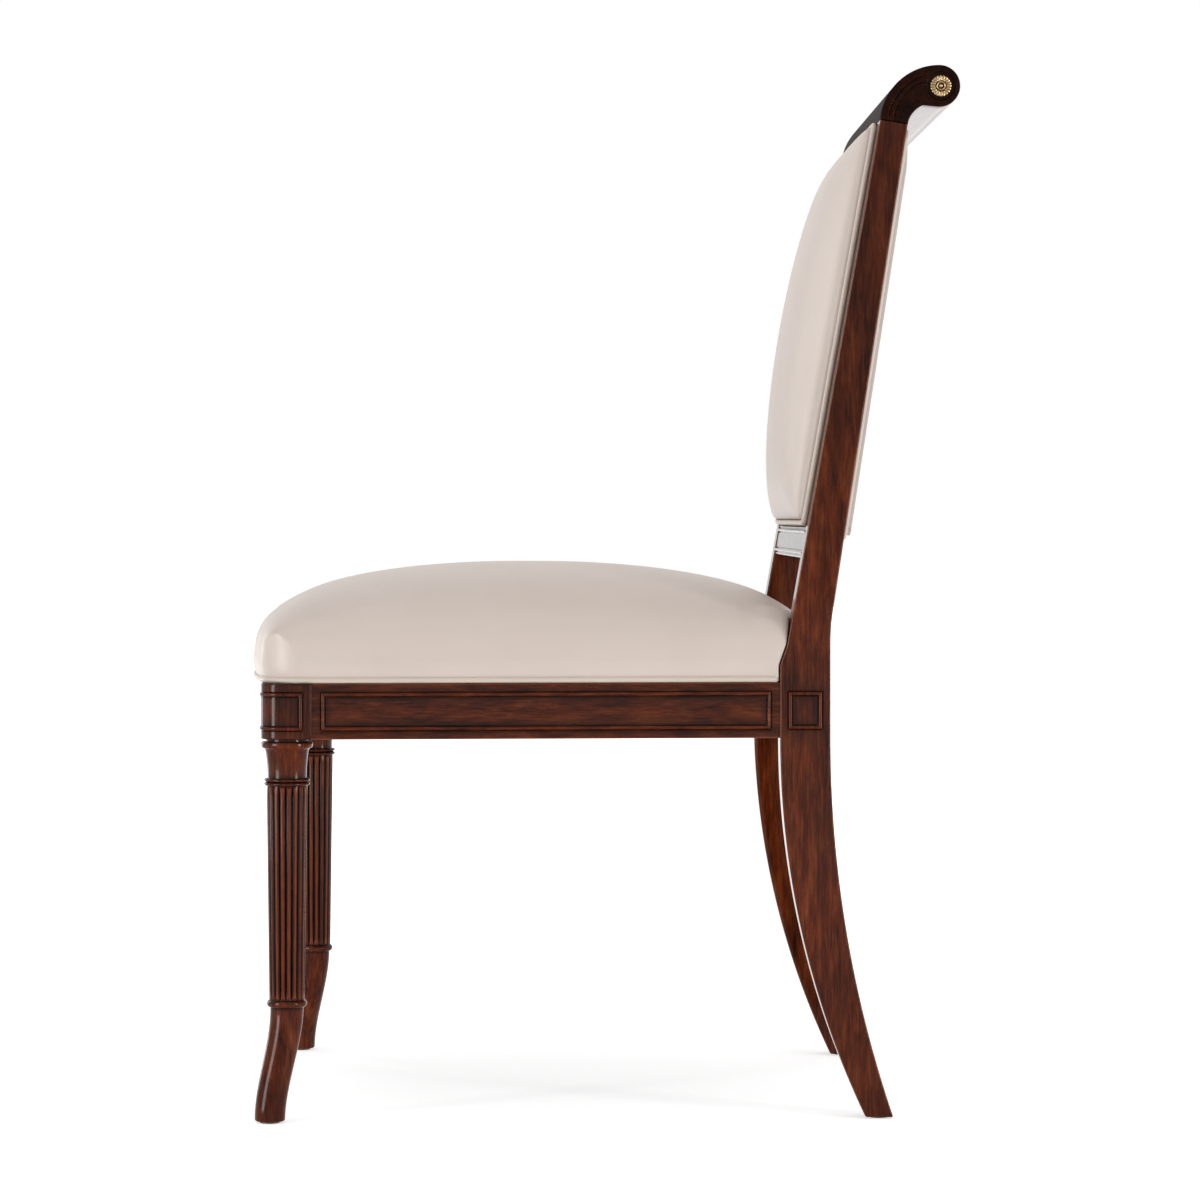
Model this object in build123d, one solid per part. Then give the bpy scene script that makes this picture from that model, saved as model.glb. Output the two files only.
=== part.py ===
from build123d import *
from math import atan2, cos, degrees, hypot, pi, radians, sin, tan
import os

# Upholstered side chair with reeded front legs, sabre rear posts and a scrolled crest rail.
# Millimetres, +Z up. The front of the chair faces -Y and the sitter's left is +X.
# The origin lies on the floor below the middle of the chair.

# Clearances
fit = 0.3
dowel_fit = 0.05
reach = 1000.0

# Seat rails
rail_top = 401.0
rail_height = 51.0
rail_thickness = 22.0
rail_setback = 2.0
rear_rail_setback = 4.0
front_rail_bow = 12.0

# Bead mouldings on rails, leg blocks and posts
bead_width = 3.0
bead_proud = 1.2
bead_margin = 8.5
post_bead_width = 30.6

# Front legs, turned below a square block
front_leg_x = 233.0
front_leg_y = -286.5
block_size = 48.0
block_corner_radius = 22.0
collar_diameter = 47.6
collar_lip_diameter = 44.2
collar_gap = 2.2
collar_height = 6.2
cove_height = 5.5
neck_top_diameter = 39.0
neck_diameter = 36.0
neck_hollow = 0.4
ring_diameter = 42.0
ring_height = 3.6
ring_level = 307.0
reed_count = 18
reed_depth = 1.3
reed_top_diameter = 37.2
reed_bottom_diameter = 32.1
foot_ring_diameter = 36.8
foot_ring_height = 7.0
foot_height = 104.0
foot_top_diameter = 30.5
foot_diameter = 28.0
foot_kick_forward = 14.7
foot_kick_outward = 14.0
foot_sections = 6

# Floor glides
glide_height = 1.5
glide_diameter = 18.0
glide_nail_diameter = 2.6
glide_nail_length = 14.0

# Rear posts, one curved board each
post_x = 212.0
post_thickness = 31.0
post_front_y = 166.3
post_depth_seat = 46.5
post_foot_front_y = 245.0
post_foot_depth = 25.5
ledge_rise = 16.0
ledge_height = 18.0
post_bend_radius = 185.0

# Back rake: the rake line passes through this point, at the top of the lower back rail
back_rake = 9.4
back_origin_y = 209.1
back_origin_z = 542.0
back_height = 379.0
post_depth_low = 34.4
post_depth_top = 25.6

# Lower back rail
lower_rail_height = 30.0
lower_rail_thickness = 22.0
lower_bead_inset = 5.0

# Crest rail
scroll_radius = 19.3
scroll_back = 41.6
scroll_rise = 33.5
hollow_back = 26.7
hollow_rise = 15.6
rosette_recess_radius = 13.5
rosette_recess_depth = 1.5
carved_line_width = 1.2
carved_line_depth = 0.7
carved_line_first = 7.0
carved_line_step = 5.0
carved_line_edge = 3.0

# Rosettes
rosette_radius = 10.0
rosette_petals = 20
rosette_petal_depth = 0.9
rosette_thickness = 1.6
rosette_boss_radius = 4.6
rosette_boss_height = 1.0
rosette_nub_radius = 1.9
rosette_nub_height = 0.8
rosette_pin_diameter = 3.0
rosette_pin_length = 8.0

# Dowels
rail_dowel_diameter = 8.0
rail_dowel_length = 50.0
rail_dowel_spacing = 24.0
rail_dowel_stagger = 6.0
crest_dowel_diameter = 8.0
crest_dowel_length = 38.0
crest_dowel_depth = 22.8
crest_dowel_spacing = 14.0
back_dowel_diameter = 6.0
back_dowel_length = 40.0
back_dowel_spacing = 15.0

# Corner blocks and screws
corner_block_run = 50.0
corner_block_height = 36.0
screw_diameter = 4.5
screw_head_diameter = 9.0
screw_head_height = 2.5
block_screw_seat = 12.0
block_screw_length = 27.0
seat_screw_length = 50.0
seat_screw_edge = 10.5
back_screw_length = 52.0
back_screw_end = 95.0

# Seat cushion
leather = 2.0
seat_overhang = 11.2
seat_front_bow = 24.0
seat_corner_radius = 30.0
seat_corner_growth = 0.17
seat_side_inset = 1.0
seat_rear_inset = 5.0
seat_wall_height = 23.0
seat_crown = 86.0
seat_crown_share = 0.84
seat_softness = (2.8, 1.65)
seat_welt_diameter = 6.0
seat_frame_thickness = 18.0
seat_frame_width = 55.0
dust_cover_thickness = 1.0

# A pad's corner radius is at most this share of its half width
corner_share = 0.7

# Sections of a pad's crown, as shares of the way in from its edge to its full height
crown_steps = (0.0, 0.03, 0.1, 0.22, 0.4, 0.6, 0.8)

# Webbing straps
strap_width = 50.0
strap_thickness = 1.5
seat_straps = 5
rear_strap_lap = 13.75
back_straps = 3

# Back upholstery
back_frame_width = 40.0
back_frame_recess = 1.0
back_cover_gap = 6.5
back_wall = 3.0
back_crown = 39.4
back_crown_share = 0.97
back_softness = (2.0, 2.0)
back_corner_radius = 9.0
back_corner_growth = 0.33
back_welt_diameter = 5.0
back_welt_proud = 3.6
back_board_thickness = 3.0
outside_recess = 8.0
outside_drop = 7.0
outside_proud = 8.2
outside_crown = 3.0

# Levels and faces that follow from the driving sizes
rail_bottom = rail_top - rail_height
rail_mid = rail_top - rail_height / 2
block_half = block_size / 2
block_outer_x = front_leg_x + block_half
block_inner_x = front_leg_x - block_half
block_front_y = front_leg_y - block_half
block_rear_y = front_leg_y + block_half
post_outer_x = post_x + post_thickness / 2
post_inner_x = post_x - post_thickness / 2
post_rear_y = post_front_y + post_depth_seat
ledge_bottom = rail_top + ledge_rise
ledge_top = ledge_bottom + ledge_height
front_rail_face_y = block_front_y + rail_setback
front_rail_inner_y = front_rail_face_y + rail_thickness
rear_rail_face_y = post_rear_y - rear_rail_setback
rear_rail_inner_y = rear_rail_face_y - rail_thickness
side_front_x = block_outer_x - rail_setback
side_rear_x = post_outer_x - rail_setback
seat_front_y = front_rail_face_y - front_rail_bow - seat_overhang
seat_rear_y = post_rear_y - seat_rear_inset
seat_wall_top = rail_top + seat_wall_height
side_angle = atan2(side_front_x - side_rear_x, post_front_y - block_rear_y)
rake = radians(back_rake)
post_taper = atan2((post_depth_low - post_depth_top) / 2, back_height)
seat_crown_reach = seat_crown_share * side_rear_x
back_half = post_inner_x - back_cover_gap
back_crown_reach = back_crown_share * min(back_half, back_height / 2)

# The back is drawn upright, with the top of the lower rail at zero, and then raked into place.
# The front and rear post faces taper towards each other, so each has a plane of its own.
raked = Pos(0, back_origin_y, back_origin_z) * Rot(-back_rake, 0, 0)
post_front_face = raked * Pos(0, -post_depth_low / 2, 0) * Rot(-degrees(post_taper), 0, 0)
post_rear_face = raked * Pos(0, post_depth_low / 2, 0) * Rot(degrees(post_taper), 0, 0)
front_cushion_place = post_front_face * Rot(90, 0, 0)
rear_cushion_place = post_rear_face * Rot(0, 0, 180) * Rot(90, 0, 0)


def raked_point(y, z):
    """A point of the upright back drawing, in the chair's own (Y, Z)."""
    chair_y = back_origin_y + y * cos(rake) + z * sin(rake)
    chair_z = back_origin_z - y * sin(rake) + z * cos(rake)
    return (chair_y, chair_z)


def post_front_edge_y(level):
    """The Y of a post's raked front edge where it crosses a level, from its two end points."""
    low = raked_point(-post_depth_low / 2, 0)
    top = raked_point(-post_depth_top / 2, back_height)
    return low[0] + (top[0] - low[0]) * (level - low[1]) / (top[1] - low[1])


def side_rail_x(y, depth=0.0):
    """The X of the side rail's outer face at a given Y, or of a plane that depth inside it."""
    outer = side_front_x - (y - block_rear_y) * tan(side_angle)
    return outer - depth / cos(side_angle)


def box(x0, x1, y0, y1, z0, z1):
    """A box between opposite corners."""
    return Pos(x0, y0, z0) * Box(x1 - x0, y1 - y0, z1 - z0, align=(Align.MIN, Align.MIN, Align.MIN))


def slab(face, z0, z1):
    """A plan outline raised between two levels."""
    return extrude(Pos(0, 0, z0) * face, amount=z1 - z0)


def across(outline, x0, x1):
    """A (Y, Z) outline carried along X."""
    return Pos(x0, 0, 0) * extrude(Plane.YZ * outline, amount=x1 - x0)


def pin(start, direction, length, diameter):
    """A round pin from its start point along a direction."""
    return extrude(Plane(origin=start, z_dir=direction) * Circle(diameter / 2), amount=length)


def screw(seat, direction, length):
    """A plain wood screw: its head stands behind the seat point and its shank runs along the direction."""
    back = tuple(-part for part in direction)
    shank = pin(seat, direction, length, screw_diameter)
    return shank + pin(seat, back, screw_head_height, screw_head_diameter)


def screw_bore(seat, direction, length):
    """The clearance that a screw needs, with its head bore open behind it."""
    back = tuple(-part for part in direction)
    shank = pin(seat, direction, length + fit, screw_diameter + 2 * dowel_fit)
    return shank + pin(seat, back, corner_block_run / 2, screw_head_diameter + 2 * fit)


def mirrored(shapes):
    """The same shapes on the other side of the chair."""
    return [mirror(shape, about=Plane.YZ) for shape in shapes]


def lobed_outline(count, radius, depth):
    """A closed ring of equal outward arcs, as reeds or petals show in section."""
    half_step = pi / count
    edges = []
    for lobe in range(count):
        angles = [half_step * (2 * lobe + part) for part in (-1, 0, 1)]
        radii = [radius - depth, radius, radius - depth]
        points = [(r * cos(a), r * sin(a)) for r, a in zip(radii, angles)]
        edges.append(ThreePointArc(*points))
    return make_face(edges)


def pillow(outline, base, wall, crown, crown_reach, softness, shrink):
    """A crowned pad: a straight wall from base to wall level, then sections that draw in as they rise.

    The height over an inset t of the reach is crown * (1 - (1 - t)^p)^(1/q), with p and q from softness.
    Shrink moves the whole surface inwards.
    """
    p, q = softness
    sections = []
    for t in crown_steps:
        height = wall + crown * (1 - (1 - t) ** p) ** (1 / q)
        sections.append(Pos(0, 0, height - shrink) * outline(crown_reach * t + shrink))
    return loft(sections) + slab(outline(shrink), base, wall - shrink)


def cord_round(outline, level, diameter):
    """A round cord laid along the edge of a plan outline at a level."""
    path = (Pos(0, 0, level) * outline).face().outer_wire()
    return sweep(Plane(origin=path @ 0, z_dir=path % 0) * Circle(diameter / 2), path=path)


# Wooden frame
def dowels():
    """Glued dowels of the seat rails, the lower back rail and the crest, by node name, with their bores."""
    half = rail_dowel_length / 2
    cross_levels = [rail_mid - rail_dowel_stagger + side * rail_dowel_spacing / 2 for side in (-1, 1)]
    side_levels = [rail_mid + rail_dowel_stagger + side * rail_dowel_spacing / 2 for side in (-1, 1)]
    front_y = front_rail_face_y + rail_thickness / 2
    rear_y = rear_rail_face_y - rail_thickness / 2
    side_front = side_rail_x(block_rear_y, rail_thickness / 2)
    side_rear = side_rail_x(post_front_y, rail_thickness / 2)
    starts = []
    for level in cross_levels:
        starts.append(((block_inner_x - half, front_y, level), (1, 0, 0)))
        starts.append(((post_inner_x - half, rear_y, level), (1, 0, 0)))
    for level in side_levels:
        starts.append(((side_front, block_rear_y - half, level), (0, 1, 0)))
        starts.append(((side_rear, post_front_y - half, level), (0, 1, 0)))
    groups = {"seat_rail_dowels": (starts, rail_dowel_length, rail_dowel_diameter, Location())}

    low = -lower_rail_height / 2
    starts = []
    for side in (-1, 1):
        level = low + side * back_dowel_spacing / 2
        starts.append(((post_inner_x - back_dowel_length / 2, 0, level), (1, 0, 0)))
    groups["back_rail_dowels"] = (starts, back_dowel_length, back_dowel_diameter, raked)

    starts = []
    for side in (-1, 1):
        x = post_x + side * crest_dowel_spacing / 2
        starts.append(((x, 0, back_height - crest_dowel_depth), (0, 0, 1)))
    groups["crest_dowels"] = (starts, crest_dowel_length, crest_dowel_diameter, raked)

    pins = {}
    bores = []
    for name, (starts, length, diameter, place) in groups.items():
        left = [place * pin(start, way, length, diameter) for start, way in starts]
        pins[name] = left + mirrored(left)
        wide = diameter + 2 * dowel_fit
        bores += [place * pin(start, way, length, wide) for start, way in starts]
    return pins, bores + mirrored(bores)


def leg_plan():
    """The plan of a front leg's square block, with its front outer corner rounded."""
    plan = Pos(front_leg_x, front_leg_y) * Rectangle(block_size, block_size)
    corner = [v for v in plan.vertices() if v.X > front_leg_x and v.Y < front_leg_y]
    return fillet(corner, radius=block_corner_radius)


def leg_turning():
    """The turned collar, cove, hollow neck and rings below the block, on the leg's own axis."""
    collar_top = rail_bottom - collar_gap
    collar_mid = collar_top - collar_height / 2
    collar_low = collar_top - collar_height
    cove_low = collar_low - cove_height
    ring_top = ring_level + 2 * ring_height
    collar = collar_diameter / 2
    lip = collar_lip_diameter / 2
    neck_top = neck_top_diameter / 2
    neck = neck_diameter / 2
    ring = ring_diameter / 2
    profile = [
        Line((0, rail_bottom), (neck_top, rail_bottom)),
        Line((neck_top, rail_bottom), (neck_top, collar_top)),
        Line((neck_top, collar_top), (lip, collar_top)),
        ThreePointArc((lip, collar_top), (collar, collar_mid), (lip, collar_low)),
        TangentArc((neck_top, cove_low), (lip, collar_low), tangent=(0, 1)),
        SagittaArc((neck_top, cove_low), (neck, ring_top), -neck_hollow),
    ]
    for bead in range(2):
        top = ring_top - bead * ring_height
        profile.append(ThreePointArc((neck, top), (ring, top - ring_height / 2), (neck, top - ring_height)))
    profile.append(Line((neck, ring_level), (0, ring_level)))
    profile.append(Line((0, ring_level), (0, rail_bottom)))
    return revolve(Plane.XZ * make_face(profile), axis=Axis.Z)


def leg_foot():
    """The foot ring and the round foot, whose circles slide forward and outward as they go down."""
    ring_top = foot_height + foot_ring_height
    ring = foot_ring_diameter / 2
    top = foot_top_diameter / 2
    profile = [
        Line((0, foot_height), (top, foot_height)),
        ThreePointArc((top, foot_height), (ring, foot_height + foot_ring_height / 2), (top, ring_top)),
        Line((top, ring_top), (0, ring_top)),
        Line((0, ring_top), (0, foot_height)),
    ]
    circles = []
    for step in range(foot_sections + 1):
        t = step / foot_sections
        slide = t * t * (3 - 2 * t)
        radius = (foot_top_diameter + (foot_diameter - foot_top_diameter) * t) / 2
        level = foot_height + (glide_height - foot_height) * t
        place = Pos(foot_kick_outward * slide, -foot_kick_forward * slide, level)
        circles.append(place * Circle(radius))
    return revolve(Plane.XZ * make_face(profile), axis=Axis.Z) + loft(circles)


def front_leg():
    """A left front leg: block, turning, reeded taper and kicked foot in one piece of wood."""
    reed_low = foot_height + foot_ring_height
    reeds = loft([
        Pos(0, 0, ring_level) * lobed_outline(reed_count, reed_top_diameter / 2, reed_depth),
        Pos(0, 0, reed_low) * lobed_outline(reed_count, reed_bottom_diameter / 2, reed_depth),
    ], ruled=True)
    turned = leg_turning() + reeds + leg_foot()
    return slab(leg_plan(), rail_bottom, rail_top) + Pos(front_leg_x, front_leg_y, 0) * turned


def front_foot_centre():
    """Where the left front foot stands."""
    return (front_leg_x + foot_kick_outward, front_leg_y - foot_kick_forward)


def post_outline():
    """A rear post from the side: sabre leg, upright at the seat, raked taper above."""
    top_front = raked_point(-post_depth_top / 2, back_height)
    top_rear = raked_point(post_depth_top / 2, back_height)
    low_rear = raked_point(post_depth_low / 2, 0)
    slope = (top_rear[0] - low_rear[0]) / (top_rear[1] - low_rear[1])
    bend = (post_rear_y, low_rear[1] - (low_rear[0] - post_rear_y) / slope)
    foot_rear_y = post_foot_front_y + post_foot_depth
    ledge = (post_front_edge_y(ledge_top), ledge_top)
    outline = make_face([
        TangentArc((post_front_y, rail_bottom), (post_foot_front_y, glide_height), tangent=(0, -1)),
        Line((post_foot_front_y, glide_height), (foot_rear_y, glide_height)),
        TangentArc((post_rear_y, rail_bottom), (foot_rear_y, glide_height), tangent=(0, -1)),
        Line((post_rear_y, rail_bottom), bend),
        Line(bend, top_rear),
        Line(top_rear, top_front),
        Line(top_front, ledge),
        Line(ledge, (post_front_y, ledge_bottom)),
        Line((post_front_y, ledge_bottom), (post_front_y, rail_bottom)),
    ])
    at_bend = [v for v in outline.vertices() if hypot(v.X - bend[0], v.Y - bend[1]) < fit]
    return fillet(at_bend, radius=post_bend_radius)


def rear_foot_centre():
    """Where the left rear foot stands."""
    return (post_x, post_foot_front_y + post_foot_depth / 2)


def scroll_centre():
    """The centre of the crest's scroll in (Y, Z), measured from the middle of the post's top."""
    middle = raked_point(0, back_height)
    return (middle[0] + scroll_back, middle[1] + scroll_rise)


def crest_outline():
    """The crest rail in section: a long front sweep rolled over into a scroll, hollow behind."""
    top_front = raked_point(-post_depth_top / 2, back_height)
    top_rear = raked_point(post_depth_top / 2, back_height)
    low_rear = raked_point(post_depth_low / 2, 0)
    middle = raked_point(0, back_height)
    y, z = scroll_centre()
    hollow = (middle[0] + hollow_back, middle[1] + hollow_rise)
    crown = (y, z + scroll_radius)
    rearmost = (y + scroll_radius, z)
    under = (y, z - scroll_radius)
    diagonal = scroll_radius * cos(pi / 4)
    return make_face([
        TangentArc(crown, top_front, tangent=(-1, 0)),
        ThreePointArc(crown, (y + diagonal, z + diagonal), rearmost),
        ThreePointArc(rearmost, (y + diagonal, z - diagonal), under),
        Line(under, hollow),
        TangentArc(top_rear, hollow, tangent=(top_rear[0] - low_rear[0], top_rear[1] - low_rear[1])),
        Line(top_rear, top_front),
    ])


def carved_lines():
    """Two fine lines on a crest end that sweep along the front contour up to the rosette."""
    front = raked_point(-post_depth_top / 2, back_height)
    y, z = scroll_centre()
    drop = z + scroll_radius - front[1]
    run = y - front[0]
    sweep_radius = (run * run + drop * drop) / (2 * drop)
    centre = Pos(y, z + scroll_radius - sweep_radius)
    field = offset(crest_outline(), amount=-carved_line_edge)
    field -= Pos(y, z) * Circle(rosette_recess_radius + carved_line_width)
    field -= Pos(y + reach / 2, z) * Rectangle(reach, reach)
    lines = []
    for step in range(2):
        radius = sweep_radius - carved_line_first - step * carved_line_step
        ring = centre * (Circle(radius) - Circle(radius - carved_line_width))
        lines.append(across(ring & field, post_outer_x - carved_line_depth, post_outer_x + fit))
    return lines


def crest_rail():
    """The crest rail, with a round recess and two carved lines on each end."""
    y, z = scroll_centre()
    floor = post_outer_x - rosette_recess_depth
    bore = rosette_pin_diameter + 2 * dowel_fit
    cuts = [
        pin((floor, y, z), (1, 0, 0), reach, 2 * rosette_recess_radius),
        pin((floor - rosette_pin_length, y, z), (1, 0, 0), reach, bore),
    ]
    cuts += carved_lines()
    return across(crest_outline(), -post_outer_x, post_outer_x) - cuts - mirrored(cuts)


def rosette():
    """A brass rosette on a pin: a petalled disc with a ring boss and a nub."""
    y, z = scroll_centre()
    petals = lobed_outline(rosette_petals, rosette_radius, rosette_petal_depth)
    disc = extrude(petals, amount=rosette_thickness)
    boss_top = rosette_thickness + rosette_boss_height
    boss = Pos(0, 0, rosette_thickness) * extrude(Circle(rosette_boss_radius), amount=rosette_boss_height)
    nub = Pos(0, 0, boss_top) * extrude(Circle(rosette_nub_radius), amount=rosette_nub_height)
    tail = extrude(Circle(rosette_pin_diameter / 2), amount=-rosette_pin_length)
    place = Plane(origin=(post_outer_x - rosette_recess_depth, y, z), z_dir=(1, 0, 0))
    return place * (disc + boss + nub + tail)


def lower_back_rail():
    """The rail under the back cushion, with a half-round bead along each edge of its front."""
    half = lower_rail_thickness / 2
    low = -lower_rail_height
    outline = make_face(Polyline((-half, 0), (half, 0), (half, low), (-half, low), close=True))
    for level in (-lower_bead_inset, low + lower_bead_inset):
        outline += Pos(-half, level) * Circle(bead_width / 2)
    return raked * across(outline, -post_inner_x, post_inner_x)


def front_rail_plan():
    """The bowed front rail between the leg blocks, with a straight back."""
    ends = [(-block_inner_x, front_rail_face_y), (block_inner_x, front_rail_face_y)]
    inner = [(block_inner_x, front_rail_inner_y), (-block_inner_x, front_rail_inner_y)]
    return make_face([
        ThreePointArc(ends[0], (0, front_rail_face_y - front_rail_bow), ends[1]),
        Line(ends[1], inner[0]),
        Line(inner[0], inner[1]),
        Line(inner[1], ends[0]),
    ])


def side_rail_plan():
    """The left side rail, angled in from leg block to post."""
    return make_face(Polyline(
        (side_rail_x(block_rear_y), block_rear_y),
        (side_rail_x(post_front_y), post_front_y),
        (side_rail_x(post_front_y, rail_thickness), post_front_y),
        (side_rail_x(block_rear_y, rail_thickness), block_rear_y),
        close=True,
    ))


def post_plan():
    """The left rear post's plan at the seat."""
    centre_y = post_front_y + post_depth_seat / 2
    return Pos(post_x, centre_y) * Rectangle(post_thickness, post_depth_seat)


def bead_frame(plan, x0, x1, y0, y1):
    """A rectangular bead laid on a wall: the skin of the plan within a region, less its inner window."""
    z0 = rail_bottom + bead_margin
    z1 = rail_top - bead_margin
    skin = slab(offset(plan, amount=bead_proud) - plan, z0, z1)
    w = bead_width
    region = box(x0, x1, y0, y1, z0, z1)
    window = box(x0 + w, x1 - w, y0 + w, y1 - w, z0 + w, z1 - w)
    frame = (skin & region) - window
    return frame.solids().sort_by(Axis.X)[-1]


def beads():
    """The bead mouldings on the rails, the leg blocks and the posts."""
    side = bead_frame(
        side_rail_plan(), post_inner_x, reach, block_rear_y + bead_margin, post_front_y - bead_margin
    )
    block = bead_frame(
        leg_plan(), block_inner_x + bead_margin, reach, -reach, block_rear_y - bead_margin
    )
    post_mid_y = post_front_y + post_depth_seat / 2
    half = post_bead_width / 2
    post = bead_frame(post_plan(), post_x, reach, post_mid_y - half, post_mid_y + half)
    front_end = block_inner_x - bead_margin
    front_depth = front_rail_face_y + rail_thickness / 2
    nodes = {"front_rail_bead": bead_frame(front_rail_plan(), -front_end, front_end, -reach, front_depth)}
    for name, shape in (("side_rail_bead", side), ("leg_block_bead", block), ("post_bead", post)):
        nodes[name + "_left"] = shape
        nodes[name + "_right"] = mirror(shape, about=Plane.YZ)
    return nodes


def corner_block(wall_x, cross_y, wall_y, inward):
    """A notched corner block in plan: it hugs the leg or post corner and runs along both rails."""
    side_end = wall_y + inward * corner_block_run
    plan = make_face(Polyline(
        (wall_x, cross_y),
        (wall_x, wall_y),
        (side_rail_x(wall_y, rail_thickness), wall_y),
        (side_rail_x(side_end, rail_thickness), side_end),
        (wall_x - corner_block_run, cross_y),
        close=True,
    ))
    return slab(plan, rail_top - corner_block_height, rail_top)


def corner_screw_seats(wall_x, cross_y, wall_y, inward):
    """Seats and directions of a corner block's two rail screws, and the place of its seat screw."""
    level = rail_top - corner_block_height / 2
    along = rail_dowel_length / 2 + screw_diameter
    cross_way = (0, -inward, 0)
    cross_seat = (wall_x - along, cross_y + inward * block_screw_seat, level)
    side_way = (cos(side_angle), sin(side_angle), 0)
    side_y = wall_y + inward * along
    side_x = side_rail_x(side_y, rail_thickness)
    side_seat = (side_x - block_screw_seat * side_way[0], side_y - block_screw_seat * side_way[1], level)
    diagonal = cos(pi / 4) * seat_screw_edge
    seat_screw = (wall_x - diagonal, wall_y + inward * diagonal)
    return [(cross_seat, cross_way), (side_seat, side_way)], seat_screw


# Upholstery
def seat_outline(inset):
    """The cushion's plan drawn in by an inset: bowed front, sides along the rails, rounder corners inside."""
    front = seat_front_y + inset
    rear = seat_rear_y - inset
    corner_y = front + seat_front_bow
    side = rail_setback - seat_side_inset - inset
    front_half = side_rail_x(corner_y) + side
    rear_half = side_rail_x(rear) + side
    plan = make_face([
        ThreePointArc((-front_half, corner_y), (0, front), (front_half, corner_y)),
        Line((front_half, corner_y), (rear_half, rear)),
        Line((rear_half, rear), (-rear_half, rear)),
        Line((-rear_half, rear), (-front_half, corner_y)),
    ])
    radius = seat_corner_radius + seat_corner_growth * inset
    return fillet(plan.vertices(), radius=min(radius, corner_share * rear_half))


def post_notches(clearance):
    """The corners that the seat leaves free for the posts."""
    x0 = post_inner_x - clearance
    y0 = post_front_y - clearance
    left = box(x0, reach, y0, reach, 0, reach)
    return [left, mirror(left, about=Plane.YZ)]


def seat_form(shrink, base):
    """The crowned seat cushion, its surface moved in by shrink, with its corners cut round the posts."""
    form = pillow(seat_outline, base, seat_wall_top, seat_crown, seat_crown_reach, seat_softness, shrink)
    return form - post_notches(fit + shrink)


def straps(count, half_length, y0, y1, z):
    """Evenly spaced webbing straps, one layer along Y and one along X above it.

    half_length gives the half length of a cross strap at its Y.
    """
    half = strap_width / 2
    top = z + strap_thickness
    spread = min(half_length(y0), half_length(y1)) - half
    layers = []
    for strap in range(count):
        share = (strap + 0.5) / count
        x = spread * (2 * share - 1)
        y = y0 + (y1 - y0) * share
        end = half_length(y)
        layers.append(box(x - half, x + half, y0, y1, z, top))
        layers.append(box(-end, end, y - half, y + half, top, top + strap_thickness))
    return layers


def seat_nodes():
    """The loose seat: dust cover, frame, webbing, foam, leather cover and welt, resting on the rails."""
    frame_low = rail_top + dust_cover_thickness
    frame_top = frame_low + seat_frame_thickness
    web_top = frame_top + 2 * strap_thickness
    welt_space = seat_welt_diameter + 2 * fit
    cover_base = rail_top + welt_space
    frame_inset = welt_space + fit
    cover = seat_form(0, cover_base) - seat_form(leather, rail_top)
    foam = seat_form(leather + fit, rail_top) - box(-reach, reach, -reach, reach, 0, web_top + fit)
    dust = slab(seat_outline(frame_inset), rail_top, frame_low) - post_notches(frame_inset)

    ring = slab(seat_outline(frame_inset), frame_low, frame_top)
    ring -= slab(seat_outline(frame_inset + seat_frame_width), frame_low, frame_top)
    ring -= post_notches(frame_inset)
    front_joint = seat_front_y + frame_inset + seat_front_bow + seat_frame_width
    rear_joint = seat_rear_y - frame_inset - seat_frame_width
    left = ring & box(0, reach, front_joint, rear_joint, 0, reach)

    welt_centre = rail_top + fit + seat_welt_diameter / 2
    welt = cord_round(seat_outline(seat_welt_diameter / 2), welt_centre, seat_welt_diameter)

    strap_inset = frame_inset + seat_frame_width / 2
    webbing = straps(
        seat_straps,
        lambda y: side_rail_x(y) - strap_inset,
        front_joint - seat_frame_width / 2,
        rear_joint + rear_strap_lap,
        frame_top,
    )
    return {
        "seat_cover": cover,
        "seat_foam": foam,
        "seat_dust_cover": dust,
        "seat_frame_front": ring & box(-reach, reach, -reach, front_joint, 0, reach),
        "seat_frame_rear": ring & box(-reach, reach, rear_joint, reach, 0, reach),
        "seat_frame_left": left,
        "seat_frame_right": mirror(left, about=Plane.YZ),
        "seat_webbing": webbing,
        "seat_welt": welt - post_notches(fit),
    }


def rounded_plan(half, low, high, radius):
    """A rectangle across the back from low to high, with rounded corners."""
    plan = make_face(Polyline((-half, low), (half, low), (half, high), (-half, high), close=True))
    limit = corner_share * min(half, (high - low) / 2)
    return fillet(plan.vertices(), radius=min(radius, limit))


def back_outline(inset):
    """The inside back's outline, across and up the back, drawn in by an inset. Its welt lies below it."""
    low = back_welt_diameter + 2 * fit + inset
    high = back_height - fit - inset
    return rounded_plan(back_half - inset, low, high, back_corner_radius + back_corner_growth * inset)


def outside_outline(inset):
    """The outside back's outline within its welt, drawn in by an inset."""
    low = back_welt_diameter + fit - outside_drop + inset
    high = back_height - back_welt_diameter - 2 * fit - inset
    return rounded_plan(back_half - inset, low, high, back_corner_radius + back_corner_growth * inset)


def back_welt(low, high):
    """A welt cord round the back, between the cushion's edge and the posts."""
    radius = back_welt_diameter / 2
    half = post_inner_x - fit - radius
    outline = rounded_plan(half, low + radius, high - radius, back_corner_radius)
    return cord_round(outline, back_welt_proud, back_welt_diameter)


def back_form(shrink, base):
    """The crowned inside back, its surface moved in by shrink. Heights are in front of the post faces."""
    return pillow(back_outline, base, back_wall, back_crown, back_crown_reach, back_softness, shrink)


def outside_form(shrink, base):
    """The flatter outside back, its surface moved in by shrink. Heights are behind the post faces."""
    crown = outside_crown
    return pillow(outside_outline, base, outside_proud, crown, back_crown_reach, back_softness, shrink)


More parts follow.
